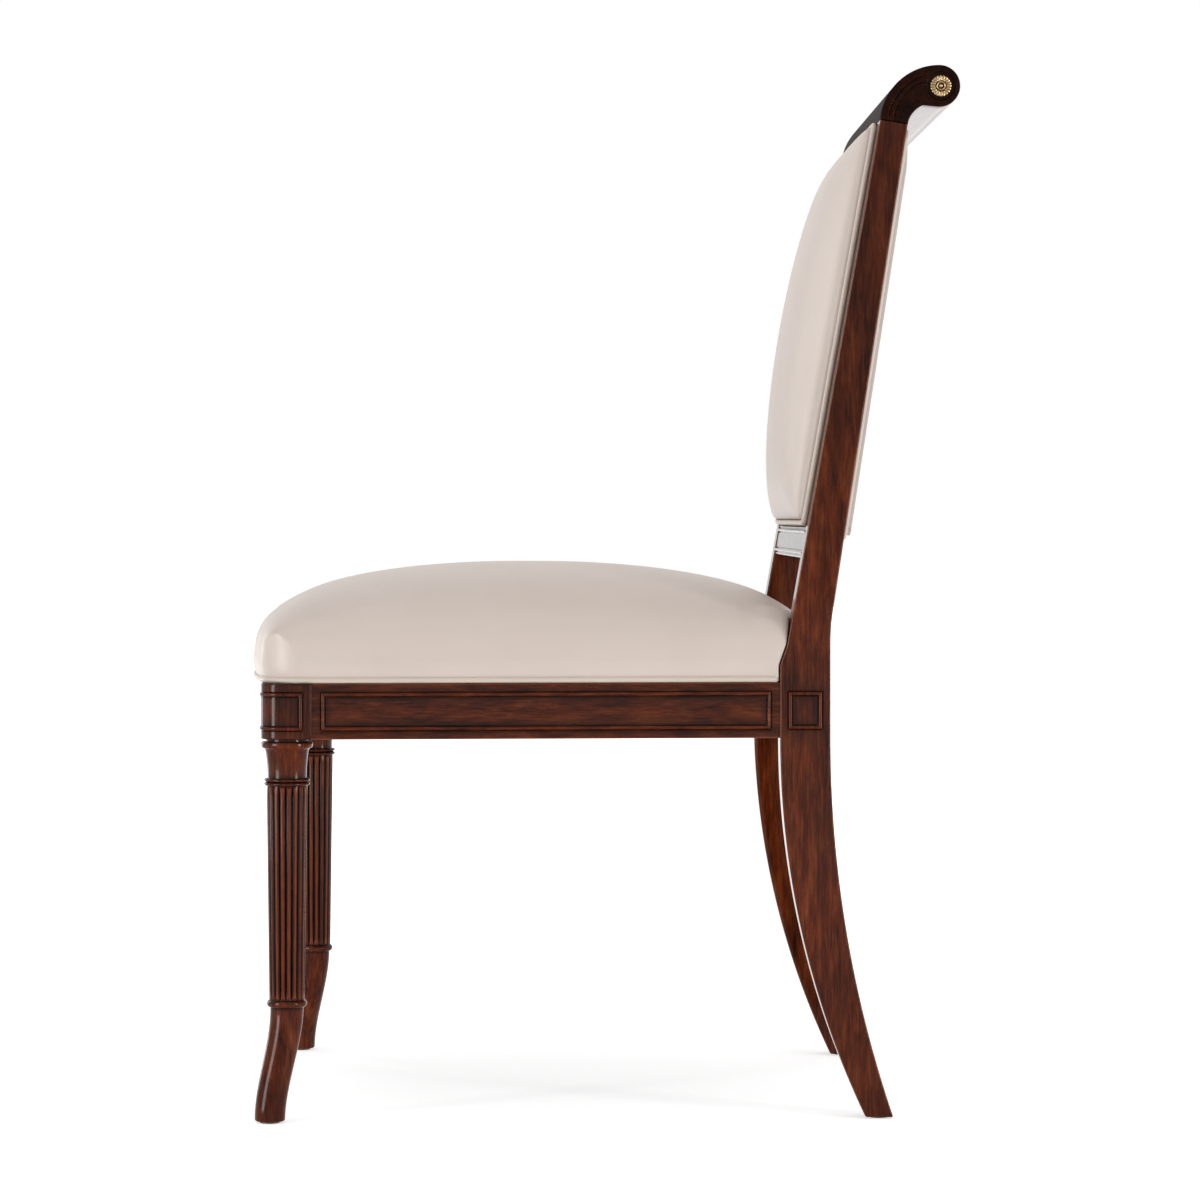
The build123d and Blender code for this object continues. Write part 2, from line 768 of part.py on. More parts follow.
def back_nodes():
    """The back between the posts: frame, webbing, foam and leather in front, board and leather behind."""
    side = make_face(Polyline(
        (back_frame_recess - post_depth_low / 2, 0),
        (post_depth_low / 2 - outside_recess, 0),
        (post_depth_top / 2 - outside_recess, back_height),
        (back_frame_recess - post_depth_top / 2, back_height),
        close=True,
    ))
    blank = across(side, -post_inner_x, post_inner_x)
    inner_x = post_inner_x - back_frame_width
    inner_top = back_height - back_frame_width
    left = blank & box(inner_x, reach, -reach, reach, -reach, reach)
    bottom = blank & box(-inner_x, inner_x, -reach, reach, 0, back_frame_width)
    top = blank & box(-inner_x, inner_x, -reach, reach, inner_top, back_height)

    strap_half = inner_x + back_frame_width / 2
    strap_low = back_frame_width / 2
    frame_front = fit - back_frame_recess
    webbing = straps(back_straps, lambda y: strap_half, strap_low, back_height - strap_low, frame_front)
    foam_base = frame_front + 2 * strap_thickness + fit
    cover = back_form(0, frame_front) - back_form(leather, frame_front - leather)
    foam = back_form(leather + fit, frame_front) - box(-reach, reach, -reach, reach, -reach, foam_base)
    board_base = fit - outside_recess
    board_top = board_base + back_board_thickness
    board = slab(rounded_plan(back_half, fit, back_height - fit, back_corner_radius), board_base, board_top)
    outside_base = board_top + fit
    outside = outside_form(0, outside_base) - outside_form(leather, board_base)
    padding = outside_form(leather + fit, outside_base)
    front_welt = back_welt(fit, back_height + back_welt_diameter)
    rear_welt = back_welt(-outside_drop, back_height - fit)
    return {
        "back_frame_left": raked * left,
        "back_frame_right": raked * mirror(left, about=Plane.YZ),
        "back_frame_bottom": raked * bottom,
        "back_frame_top": raked * top,
        "back_webbing": [front_cushion_place * strap for strap in webbing],
        "back_foam": front_cushion_place * foam,
        "back_cover": front_cushion_place * cover,
        "back_welt": front_cushion_place * front_welt,
        "back_board": rear_cushion_place * board,
        "outside_back_cover": rear_cushion_place * outside,
        "outside_back_padding": rear_cushion_place * padding,
        "outside_back_welt": rear_cushion_place * rear_welt,
    }


def glide(x, y):
    """A floor glide: a disc under the foot with a nail up into it."""
    return pin((x, y, 0), (0, 0, 1), glide_height, glide_diameter) + glide_nail(x, y, glide_nail_diameter)


def glide_nail(x, y, diameter):
    """The nail of a glide, or its bore."""
    return pin((x, y, glide_height), (0, 0, 1), glide_nail_length, diameter)


def assemble():
    """Every node of the chair by name, each a shape or a list of separate shapes."""
    pins, dowel_bores = dowels()
    seat = seat_nodes()
    back = back_nodes()
    feet = [front_foot_centre(), rear_foot_centre()]
    glides = [glide(x, y) for x, y in feet]
    nail_bores = [glide_nail(x, y, glide_nail_diameter + 2 * dowel_fit) for x, y in feet]

    corners = {
        "front": (block_inner_x, front_rail_inner_y, block_rear_y, 1),
        "rear": (post_inner_x, rear_rail_inner_y, post_front_y, -1),
    }
    block_screws = []
    block_bores = []
    seat_screws = []
    seat_bores = []
    seat_screw_start = rail_top - corner_block_height
    for corner in corners.values():
        rail_screws, (x, y) = corner_screw_seats(*corner)
        for seat_point, way in rail_screws:
            block_screws.append(screw(seat_point, way, block_screw_length))
            block_bores.append(screw_bore(seat_point, way, block_screw_length))
        start = (x, y, seat_screw_start)
        seat_screws.append(screw(start, (0, 0, 1), seat_screw_length))
        seat_bores.append(screw_bore(start, (0, 0, 1), seat_screw_length))

    back_screws = []
    back_bores = []
    for level in (back_screw_end, back_height - back_screw_end):
        start = (post_inner_x - back_frame_width + screw_head_height, 0, level)
        back_screws.append(raked * screw(start, (1, 0, 0), back_screw_length))
        back_bores.append(raked * screw_bore(start, (1, 0, 0), back_screw_length))

    leg = front_leg() - dowel_bores - nail_bores
    post = across(post_outline(), post_inner_x, post_outer_x) - dowel_bores - nail_bores - back_bores
    side_rail = slab(side_rail_plan(), rail_bottom, rail_top) - dowel_bores - block_bores
    all_block_bores = block_bores + mirrored(block_bores)
    all_seat_bores = seat_bores + mirrored(seat_bores)
    front_rail = slab(front_rail_plan(), rail_bottom, rail_top) - dowel_bores - all_block_bores
    rear_rail = box(-post_inner_x, post_inner_x, rear_rail_inner_y, rear_rail_face_y, rail_bottom, rail_top)

    nodes = {
        "front_seat_rail": front_rail,
        "rear_seat_rail": rear_rail - dowel_bores - all_block_bores,
        "crest_rail": crest_rail() - dowel_bores,
        "lower_back_rail": lower_back_rail() - dowel_bores,
        "corner_block_screws": block_screws + mirrored(block_screws),
        "seat_screws": seat_screws + mirrored(seat_screws),
        "back_frame_screws": back_screws + mirrored(back_screws),
        "foot_glides": glides + mirrored(glides),
    }
    pairs = {"front_leg": leg, "rear_post": post, "side_seat_rail": side_rail, "rosette": rosette()}
    for place, corner in corners.items():
        pairs["corner_block_" + place] = corner_block(*corner) - block_bores - seat_bores
    for name, shape in pairs.items():
        nodes[name + "_left"] = shape
        nodes[name + "_right"] = mirror(shape, about=Plane.YZ)
    for name, shape in seat.items():
        if name == "seat_dust_cover" or name.startswith("seat_frame"):
            seat[name] = shape - all_seat_bores
    for name in ("back_frame_left", "back_frame_right"):
        back[name] = back[name] - back_bores - mirrored(back_bores)
    return nodes | pins | beads() | seat | back


def solids_of(shape):
    """The separate solids of a node."""
    shapes = shape if isinstance(shape, list) else [shape]
    return [solid for item in shapes for solid in item.solids()]


os.makedirs("parts", exist_ok=True)
for node, shape in assemble().items():
    solids = solids_of(shape)
    body = solids[0] if len(solids) == 1 else Compound(children=solids)
    export_step(body, "parts/" + node + ".step")
    print(node, len(solids), round(sum(solid.volume for solid in solids)))
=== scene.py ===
from math import atan2, cos, pi, radians, sin, sqrt, tan

import bmesh
import bpy
import numpy as np
from bpy.props import FloatProperty, FloatVectorProperty, IntProperty, PointerProperty
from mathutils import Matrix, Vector
from mathutils.kdtree import KDTree


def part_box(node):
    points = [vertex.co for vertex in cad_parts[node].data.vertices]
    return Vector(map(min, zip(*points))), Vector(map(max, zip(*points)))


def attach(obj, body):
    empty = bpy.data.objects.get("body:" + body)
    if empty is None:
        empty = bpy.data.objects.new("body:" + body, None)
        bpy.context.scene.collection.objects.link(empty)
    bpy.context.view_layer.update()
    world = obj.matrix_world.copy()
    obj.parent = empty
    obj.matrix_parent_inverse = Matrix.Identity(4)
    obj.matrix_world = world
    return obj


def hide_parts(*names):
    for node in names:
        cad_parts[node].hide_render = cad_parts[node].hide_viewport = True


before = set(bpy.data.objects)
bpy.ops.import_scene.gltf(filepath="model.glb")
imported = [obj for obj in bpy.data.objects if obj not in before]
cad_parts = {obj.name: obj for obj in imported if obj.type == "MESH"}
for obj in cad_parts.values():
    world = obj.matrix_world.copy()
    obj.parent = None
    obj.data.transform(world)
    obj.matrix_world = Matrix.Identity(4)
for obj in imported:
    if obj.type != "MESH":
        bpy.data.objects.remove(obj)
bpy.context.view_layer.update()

bl_info = {
    "name": "Scroll-back side chair",
    "version": (1, 0, 0),
    "blender": (4, 5, 0),
    "location": "3D View > Sidebar > Chair",
    "description": "Dresses a side chair: polished reeded frame, leather seat and back, brass rosettes",
    "category": "Object",
}

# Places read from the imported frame, in metres. The chair faces -Y and the sitter's left is +X.
RAIL_LOW, RAIL_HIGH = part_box("side_seat_rail_left")
LEG_LOW, LEG_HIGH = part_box("front_leg_left")
POST_LOW, POST_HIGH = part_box("rear_post_left")
_, FRONT_RAIL_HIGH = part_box("front_seat_rail")
REAR_RAIL_LOW, REAR_RAIL_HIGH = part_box("rear_seat_rail")
SEAT_LOW, SEAT_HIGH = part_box("seat_cover")
SIDES = {"left": 1.0, "right": -1.0}
BODY = "root"

# Fineness of the grids: distances in metres, then counts of points
CLOSEST_LINES = 0.00008
WELD_DISTANCE = 0.000002
SECTION_STEP = 0.006
BLOCK_RUN_STEP = 0.003
BLOCK_LEVEL_STEP = 0.004
RAIL_STEP = 0.03
BOW_STEP = 0.01
CREST_STEP = 0.02
LOOP_GAP = 0.001
CREST_ROWS = 200
CREST_COLUMNS = 150
CORNER_STEPS = 16
EDGE_STEPS = 6
BACK_CORNER_STEPS = 10
EDGE_LINES = 5
BEAD_LINES = 5
ROUND_ROWS = 9
HOLLOW_ROWS = 7
REED_ROWS = 15
REED_COLUMNS = 12
FOOT_ROWS = 33
FOOT_EDGE_ROWS = 6
SWEEP_POINTS = 60
QUARTER_POINTS = 30
PETAL_COLUMNS = 12
NUB_RINGS = 7
BOSS_RINGS = 11
PETAL_RINGS = 18
WALL_ROWS = 13
SEAT_ROWS = 64
BACK_ROWS = 60
CORD_SIDES = 14

# Grid lines over the painted shadow beside a bead, as first and last share of its reach and their count
SHADOW_LINES = (0.3, 3.0, 7)

# Powers by which the rows of a cushion lie closer at its edge than in its middle
SEAT_CLOSING = 1.6
BACK_CLOSING = 1.8

# Angles between two faces from which their edge is shaded sharp
SHARP_EDGE = radians(38)
ROUND_EDGE = radians(60)
SOFT_EDGE = radians(70)

# How far a normal points along an axis on a flat face, and below which it belongs to a rounded edge
FACE_TURN = 0.99
EDGE_TURN = 0.97

# Painted shade and highlight of a bead. In every shade, above nought darkens the colour and below nought
# lightens it.
QUIRK_PAINTED_SHADE = 0.85
INNER_SHADOW = 0.78
INNER_FADE = 0.42
OUTER_SHADOW = 0.55
OUTER_FADE = 0.28
BEAD_FOOT_PAINTED_SHADE = 0.45
BEAD_FOOT_SLOPE = 1.3
BEAD_TOP_HIGHLIGHT = 0.05

# Share of the wood's colours, roughness added and specular level, for the two kinds of polish: the clear
# polish, and a darker copy without specular for the crest's front, crown and ends, partly the crest's own
# darker tone and partly painted shade
CLEAR_POLISH = (1.0, 0.0, 0.05)
DARK_SHADED_COPY = (0.15, 0.06, 0.0)

# Phase in radians that a wave texture runs through in one unit of its scale
WAVE_PHASE = 20.0

# Shares of the front legs' lips and reeds, how much darker the block's edges grow, and the reeds' painted
# shade and painted highlights
LIP_SHARE = 0.62
REED_END_SHARES = (0.0, 0.06, 0.15, 0.28, 0.45, 0.65, 0.85, 1.0)
LEAST_OPENING = 0.02
HOLLOW_SHARE = 0.985
BLOCK_EDGE_DARKENING = 0.5
CREVICE_PAINTED_SHADE = 0.85
CREVICE_WIDTH = 0.0011
LEAST_CREVICE = 0.05
GROOVE_START = 0.36
GROOVE_FADE = 0.46
REED_HIGHLIGHT = 0.50
REED_HIGHLIGHT_SPREAD = 0.36
REED_HIGHLIGHT_PITCH = 2.4
REED_HIGHLIGHT_WIDTH = 0.45

# How much darker the posts grow towards the top and towards the floor, the heights where it starts and the
# lengths over which it grows
UPRIGHT_DARKENING = 0.42
UPRIGHT_DIMS_FROM = 0.46
UPRIGHT_FADE = 0.20
FOOT_DARKENING = 0.30
FOOT_DIMS_BELOW = 0.14
FOOT_FADE = 0.12

# Lengths of the crest's edges, recesses and carved lines, how much darker its edges grow, and the painted
# shade and highlight of its recesses and lines
CREST_EDGE_DARKENING = 0.25
RIM_SLOPE = 0.0009
RIM_PAINTED_SHADE = 0.45
RIM_SHADE_INSET = 0.0006
LINE_FOOT_FADE = 0.002
LINE_GAP = 0.0012
LINE_HEAD_FADE = 0.003
LINE_PAINTED_SHADE = 0.35
LINE_HIGHLIGHT = 0.50
LINE_HIGHLIGHT_WIDTH = 0.0009

# How far a normal points back and down in the crest's hollow rear, and sideways on its ends
HOLLOW_TURN = 0.6
END_TURN = 0.2

# Shares of a rosette's relief, how far its ring lies out, and where the rings of each part start
PETAL_ROUND = 0.96
PETAL_VALLEY = 0.25
PETAL_SCALLOP = 0.09
ROSETTE_FLOOR = 0.35
RING_SHIFT = 0.0002
NUB_START = 0.0003
BOSS_START = 0.0002
PETAL_START = 0.0001
TARNISH_FROM = 0.3
TARNISH_FADE = 0.8

# The two powers of a crown's rise
SEAT_SOFTNESS = (2.0, 2.8)
BACK_SOFTNESS = (2.0, 2.0)

# Lengths, shares and shades of the leather
NOTCH_CORNER = 0.003
REAR_CORNER = 0.010
BOW_FADE = 0.06
PLEATED_REACH = 0.055
PLEATED_LINES = 111
PLEAT_CREST = 0.65
PLEAT_FADE = 0.012
PLEATS_FROM = 0.8
PLEAT_SHADE = 0.30
STEP_REACH = 0.03
STEP_FADE = 0.012
SEAT_BASE_SHARE = 0.45
WELT_INSET = 0.0015
LEATHER_GAP = 0.0003
OUTSIDE_BASE = -0.004
OUTSIDE_ROLL_SHARE = 0.95
SEAM_WIDTH = 0.0015
# Painted shade along the cushions' seams, for the seat and the back
SEAT_SEAM_SHADE = 0.9
BACK_SEAM_SHADE = 0.6
TACKED_BELOW = 0.02
SKIN_NEIGHBOURS = 14

# Which of the posts' faces the back's leather lies on
FRONT = -1.0
REAR = 1.0

# The stage: half the floor's width and its grid lines, where it brightens, and where the softboxes look
FLOOR_REACH = 20.0
FLOOR_LINES = 9
FLOOR_GLOW_REACH = (0.8, 3.0)
LIT_MIDDLE = (0.0, 0.0, 0.6)
WHITE = (1.0, 1.0, 1.0)

# Each softbox: its name, its power's name, its place, its width and height, and whether only polish shows it
SOFTBOXES = (
    ("key_softbox", "key_power", (1.30, -1.80, 0.76), (0.16, 1.46), False),
    ("fill_softbox", "fill_power", (1.45, 2.00, 0.76), (0.18, 1.46), False),
    ("rim_softbox", "rim_power", (-1.50, -1.75, 0.76), (0.26, 1.46), False),
    ("key_gleam", "gleam_power", (1.35, -1.86, 0.76), (0.8, 1.46), True),
    ("fill_gleam", "gleam_power", (1.50, 2.06, 0.76), (0.6, 1.46), True),
    ("rim_gleam", "rim_gleam", (-1.55, -1.81, 0.76), (0.6, 1.46), True),
    ("top_softbox", "top_power", (0.4, -0.2, 3.4), (2.4, 2.4), False),
)


def metres(name, default, description):
    """A length that a user may change."""
    return FloatProperty(name=name, description=description, default=default, precision=5, unit="LENGTH")


def number(name, default, description, **more):
    """A plain number that a user may change."""
    return FloatProperty(name=name, description=description, default=default, **more)


def watts(name, default, description):
    """A lamp's power that a user may change."""
    return number(name, default, description, unit="POWER")


def colour(name, default, description):
    """A linear colour that a user may change."""
    return FloatVectorProperty(
        name=name, description=description, default=default, size=3, min=0.0, max=1.0, subtype="COLOR"
    )


class ChairLegSizes(bpy.types.PropertyGroup):
    """Sizes of the turned and reeded front legs."""

    block_size: metres("Block size", 0.048, "Width and depth of the square block beside the seat rails")
    block_corner_radius: metres("Block corner radius", 0.022, "Radius of the block's front outer corner")
    edge_radius: metres("Edge radius", 0.0013, "Softened edges of the block")
    collar_gap: metres("Collar gap", 0.0022, "Sunk line between the block and the collar")
    collar_radius: metres("Collar radius", 0.0238, "Largest radius of the collar under the block")
    collar_height: metres("Collar height", 0.0062, "Height of the collar's rounded edge")
    cove_height: metres("Cove height", 0.0055, "Height of the hollow below the collar")
    neck_top_radius: metres("Neck top radius", 0.0194, "Radius of the neck below the collar's hollow")
    neck_radius: metres("Neck radius", 0.0179, "Radius of the neck above the rings")
    ring_radius: metres("Ring radius", 0.0210, "Radius of the two rings above the reeds")
    ring_height: metres("Ring height", 0.0036, "Height of each ring")
    ring_level: metres("Ring level", 0.307, "Height of the lower ring's foot")
    reed_count: IntProperty(name="Reeds", description="Number of reeds round a leg", default=18, min=6)
    reed_depth: metres("Reed depth", 0.0026, "Depth of the hollows between reeds")
    reed_end: metres("Reed end", 0.009, "Length over which a reed's end closes to a point")
    reed_top_radius: metres("Reed top radius", 0.0187, "Radius over the reeds at their top")
    reed_bottom_radius: metres("Reed bottom radius", 0.0161, "Radius over the reeds at their foot")
    foot_ring_radius: metres("Foot ring radius", 0.0184, "Radius of the ring above the foot")
    foot_ring_height: metres("Foot ring height", 0.0068, "Height of the ring above the foot")
    foot_height: metres("Foot height", 0.104, "Height of the foot's top above the floor")
    foot_top_radius: metres("Foot top radius", 0.01525, "Radius of the foot at its top")
    foot_radius: metres("Foot radius", 0.0140, "Radius of the foot at the floor")
    foot_edge_radius: metres("Foot edge radius", 0.002, "Softened edge at the floor")
    kick_forward: metres("Kick forward", 0.0147, "How far the foot slides forward")
    kick_outward: metres("Kick outward", 0.014, "How far the foot slides outward")


class ChairFrameSizes(bpy.types.PropertyGroup):
    """Sizes of the rails, posts, crest and mouldings."""

    edge_radius: metres("Edge radius", 0.0016, "Softened edges of rails and posts")
    # Painted highlight along the rounded edges of rails and posts, below nought
    edge_highlight: number("Edge wear", -0.35, "Shade of worn edges, below nought for lighter", subtype="FACTOR")
    rail_thickness: metres("Rail thickness", 0.022, "Thickness of the seat rails")
    rail_setback: metres("Rail setback", 0.002, "Step from a leg or post face back to the rail")
    front_bow: metres("Front bow", 0.012, "How far the front rail bows forward")
    bead_width: metres("Bead width", 0.003, "Width of the panel beads")
    bead_proud: metres("Bead proud", 0.0012, "How far the panel beads stand out")
    bead_margin: metres("Bead margin", 0.010, "From the edge of a rail to the middle of its bead")
    quirk_width: metres("Quirk width", 0.0013, "Width of the sunk line beside a bead")
    quirk_depth: metres("Quirk depth", 0.0007, "Depth of the sunk line beside a bead")
    panel_sink: metres("Panel sink", 0.0004, "How far the field inside a bead lies below the rail face")
    # Reach of the painted shadow beside a bead
    shadow_reach: metres("Glaze reach", 0.0030, "How far dark glaze spreads beside a bead")
    post_bead_size: metres("Post bead size", 0.0276, "Side of the small bead square on a post")
    seat_depth: metres("Post depth at the seat", 0.0465, "Depth of a post beside the side rail")
    foot_front: metres("Post foot front", 0.245, "How far back a post's foot begins")
    foot_depth: metres("Post foot depth", 0.0255, "Depth of a post at the floor")
    ledge_bottom: metres("Ledge bottom", 0.417, "Where a post starts to step back above the seat rail")
    ledge_top: metres("Ledge top", 0.435, "Where the step back ends")
    bend_radius: metres("Bend radius", 0.185, "Radius of the rear bend above the seat")
    rake: number("Rake", radians(9.4), "Lean of the back", subtype="ANGLE")
    back_y: metres("Back origin Y", 0.2091, "Middle of the post at the top of the lower back rail")
    back_z: metres("Back origin Z", 0.542, "Height of the top of the lower back rail")
    back_height: metres("Back height", 0.379, "From the lower back rail to the crest, along the rake")
    depth_low: metres("Post depth low", 0.0344, "Depth of a post at the lower back rail")
    depth_top: metres("Post depth top", 0.0256, "Depth of a post under the crest")
    lower_height: metres("Lower rail height", 0.030, "Height of the lower back rail")
    lower_thickness: metres("Lower rail thickness", 0.022, "Thickness of the lower back rail")
    lower_forward: metres("Lower rail forward", 0.0056, "How far the lower rail's face is brought forward")
    lower_bead_inset: metres("Lower bead inset", 0.005, "From the lower rail's edges to its beads")
    scroll_radius: metres("Scroll radius", 0.0193, "Radius of the crest's scroll")
    scroll_back: metres("Scroll back", 0.0416, "From the post's top back to the scroll's centre")
    scroll_rise: metres("Scroll rise", 0.0335, "From the post's top up to the scroll's centre")
    hollow_back: metres("Hollow back", 0.0267, "From the post's top back to the corner under the scroll")
    hollow_rise: metres("Hollow rise", 0.0156, "From the post's top up to the corner under the scroll")
    crest_edge: metres("Crest edge", 0.0011, "Softened edge round the crest's ends")
    recess_radius: metres("Recess radius", 0.0135, "Radius of the round recess in a crest end")
    recess_depth: metres("Recess depth", 0.0015, "Depth of the round recess in a crest end")
    line_width: metres("Carved line width", 0.0017, "Width of the carved lines on a crest end")
    line_depth: metres("Carved line depth", 0.0009, "Depth of the carved lines on a crest end")
    line_first: metres("First carved line", 0.0076, "From the crest's front to the first carved line")
    line_step: metres("Carved line step", 0.005, "From the first carved line to the second")
    line_edge: metres("Carved line end", 0.003, "From the post joint to the start of the carved lines")
    petals: IntProperty(name="Petals", description="Number of petals on a rosette", default=20, min=5)
    rosette_back: metres("Rosette back", 0.0016, "From the scroll's centre back to the rosette's")
    rosette_radius: metres("Rosette radius", 0.010, "Radius of a rosette")
    rosette_thickness: metres("Rosette thickness", 0.0017, "Height of a rosette's petals")
    boss_radius: metres("Boss radius", 0.0046, "Radius of a rosette's ring boss")
    boss_height: metres("Boss height", 0.0028, "Height of a rosette's ring boss")
    nub_radius: metres("Nub radius", 0.0021, "Radius of a rosette's middle nub")
    nub_height: metres("Nub height", 0.0033, "Height of a rosette's middle nub")


class ChairUpholsterySizes(bpy.types.PropertyGroup):
    """Sizes of the leather seat and back."""

    seat_front_bow: metres("Seat front bow", 0.024, "How far the cushion's front bows forward")
    seat_corner_radius: metres("Seat corner radius", 0.030, "Plan radius of the cushion's front corners")
    seat_side_out: metres("Seat side", 0.001, "How far the cushion's sides stand out from the side rails")
    seat_wall_top: metres("Seat wall top", 0.424, "Height at which the cushion's crown begins")
    seat_crown: metres("Seat crown", 0.0845, "Rise of the crown above the wall")
    seat_reach: metres("Seat reach", 0.2580, "Inset at which the crown reaches its height")
    seat_pull: metres("Seat pull", 0.0045, "How far the leather is drawn in at the welt")
    seat_welt: metres("Seat welt", 0.0060, "Diameter of the welt on the rails")
    pleat_place: metres("Pleat place", 0.0252, "From the cushion's front to the foot of its corner pleats")
    pleat_lean: metres("Pleat lean", 0.0085, "How far a corner pleat curves forward above its foot")
    pleat_height: metres("Pleat height", 0.042, "Height of the corner pleats")
    pleat_width: metres("Pleat width", 0.0010, "Half width of the corner pleats")
    pleat_depth: metres("Pleat depth", 0.0009, "Depth of the corner pleats")
    notch_gap: metres("Notch gap", 0.0008, "Gap between the cushion and the posts")
    notch_roll: metres("Notch roll", 0.007, "Width over which the cushion rolls down beside a post")
    notch_drop: metres("Notch drop", 0.005, "How far it rolls down beside a post")
    back_gap: metres("Back gap", 0.0065, "Gap from a post to the back cushion, which holds the welt")
    back_top: metres("Back top", -0.0040, "How far the back cushion rises past the post's top")
    back_low: metres("Back low", 0.0056, "From the lower rail to the cushion")
    back_wall: metres("Back wall", 0.003, "Height of the back cushion's edge before the post faces")
    back_crown: metres("Back crown", 0.0394, "Rise of the back cushion's crown")
    back_share: number(
        "Back reach", 0.97, "Share of the half width over which the crown rises",
        min=0.1, max=1.0, subtype="FACTOR",
    )
    back_corner_radius: metres("Back corner radius", 0.009, "Radius of the back's corners")
    back_welt: metres("Back welt", 0.0050, "Diameter of the welts round the back")
    back_welt_proud: metres("Back welt proud", 0.0024, "Height of the welts' middle before the post faces")
    outside_drop: metres("Outside drop", 0.007, "How far the outside back hangs below the lower rail's top")
    outside_proud: metres("Outside proud", 0.0078, "Height of the outside back's edge behind the posts")
    outside_crown: metres("Outside crown", 0.0034, "Rise of the outside back's crown")
    outside_roll: metres("Outside roll", 0.040, "Length over which the outside back rolls to its top")
    give: metres("Give", 0.003, "How far the leather swells from its cut shape as it is stuffed")
    tack_length: metres("Tack length", 0.025, "Length over which the swelling fades where leather is tacked")
    voxel: metres("Voxel", 0.005, "Mesh size of the leather while it swells")
    pressure: number("Pressure", 4.0, "Stuffing pressure under the leather")
    swell_frames: IntProperty(name="Swell frames", description="Steps of the swelling", default=10, min=2)


class ChairFinishes(bpy.types.PropertyGroup):
    """Colours of the finishes."""

    wood_deep: colour("Wood deep", (0.0085, 0.0020, 0.0013), "Darkest figure of the polished wood")
    wood_body: colour("Wood body", (0.100, 0.0165, 0.0036), "Main colour of the polished wood")
    wood_light: colour("Wood light", (0.220, 0.0530, 0.0135), "Lightest streaks of the polished wood")
    # Colour painted as shade in sunk lines, hollows and beside beads; the darker edges and posts use it too
    painted_shade: colour("Glaze", (0.0042, 0.0020, 0.0015), "Dark glaze left in the sunk lines")
    leather: colour("Leather", (0.640, 0.553, 0.498), "Cream leather")
    leather_shadow: colour("Leather shadow", (0.605, 0.516, 0.458), "Cream leather in its softer patches")
    welt: colour("Welt", (0.645, 0.555, 0.480), "Cream leather of the welts")
    # Colour painted as shade along the leather's seams and in its pleats
    seam: colour("Seam", (0.20, 0.15, 0.115), "Cream leather in the dark of its seams")
    brass: colour("Brass", (0.330, 0.243, 0.138), "Polished brass")
    brass_dull: colour("Brass dull", (0.20, 0.125, 0.055), "Brass between its polished spots")
    brass_dark: colour("Brass dark", (0.030, 0.019, 0.009), "Tarnish in the brass hollows")
    plain_wood: colour("Plain wood", (0.420, 0.270, 0.150), "Unfinished wood inside the chair")
    webbing: colour("Webbing", (0.230, 0.170, 0.095), "Woven jute webbing")
    dust_cloth: colour("Dust cloth", (0.022, 0.021, 0.020), "Black dust cloth below the seat")
    steel: colour("Steel", (0.420, 0.410, 0.400), "Zinc-plated screws")
    glide: colour("Glide", (0.060, 0.058, 0.055), "Dark plastic floor glides")


class ChairStage(bpy.types.PropertyGroup):
    """Camera and light."""

    camera_distance: metres("Camera distance", 3.840, "From the chair's middle to the camera, along +X")
    camera_y: metres("Camera Y", -0.0635, "How far forward the camera stands")
    camera_z: metres("Camera Z", 0.555, "Height of the camera")
    lens: number("Lens", 117.96, "Focal length in millimetres", unit="CAMERA")
    shift_x: number("Shift X", 0.0583, "Framing of the view")
    shift_y: number("Shift Y", -0.0708, "Framing of the view")
    key_power: watts("Key", 6.5, "Front left softbox")
    fill_power: watts("Fill", 11.0, "Rear left softbox")
    rim_power: watts("Rim", 3.0, "Front right softbox")
    gleam_power: watts("Gleam", 46.0, "Softboxes mirrored in polish")
    rim_gleam: watts("Rim gleam", 9.0, "Rim softbox mirrored in polish")
    top_power: watts("Top", 24.0, "Overhead softbox")
    floor_grey: number("Floor", 0.82, "Brightness of the pale floor", subtype="FACTOR")
    floor_glow: number("Floor glow", 0.61, "Light added to the floor's look")
    far_glow: number("Far glow", 0.55, "Light added to the floor's look far away")
    room_light: number("Room light", 0.42, "Strength of the soft light all round")
    sky_light: number("Light from above", 0.16, "Strength added overhead")


# Curves and grids
def smooth_step(x):
    """Nought below 0, one above 1, and three x squared less two x cubed between."""
    x = np.clip(x, 0.0, 1.0)
    return x * x * (3.0 - 2.0 * x)


def half_round(x):
    """The height of a half circle of radius one over x, and nought past its ends."""
    return np.sqrt(np.clip(1.0 - x ** 2, 0.0, 1.0))


def hump(x):
    """A parabola over x that is one in its middle and nought from one outwards."""
    return np.clip(1.0 - x ** 2, 0.0, 1.0)


def drawn_in(radius, depth):
    """How far a face draws in at a depth below an edge rounded by a radius: a quarter circle."""
    short = np.clip(radius - depth, 0.0, radius)
    return radius - np.sqrt(np.clip(radius ** 2 - short ** 2, 0.0, None))


def edge_depths(radius):
    """Depths below a rounded edge at which a grid needs a line."""
    return radius * (1.0 - np.cos(np.linspace(0.0, pi / 2, EDGE_LINES)))


def unit(vectors):
    """Vectors made one long."""
    return vectors / np.linalg.norm(vectors, axis=-1, keepdims=True)


def around(count):
    """Even angles round a circle."""
    return np.linspace(0.0, 2 * pi, count, endpoint=False)


def far_from(place, centre):
    """How far flat places lie from a centre."""
    return np.hypot(place[..., 0] - centre[0], place[..., 1] - centre[1])


def spread(start, end, step):
    """Even values from start to end, no further apart than step."""
    count = max(2, int(np.ceil(abs(end - start) / step)) + 1)
    return np.linspace(start, end, count)


def both_sides(middle, half):
    """The two values that lie half a width from a middle."""
    return [middle - half, middle + half]


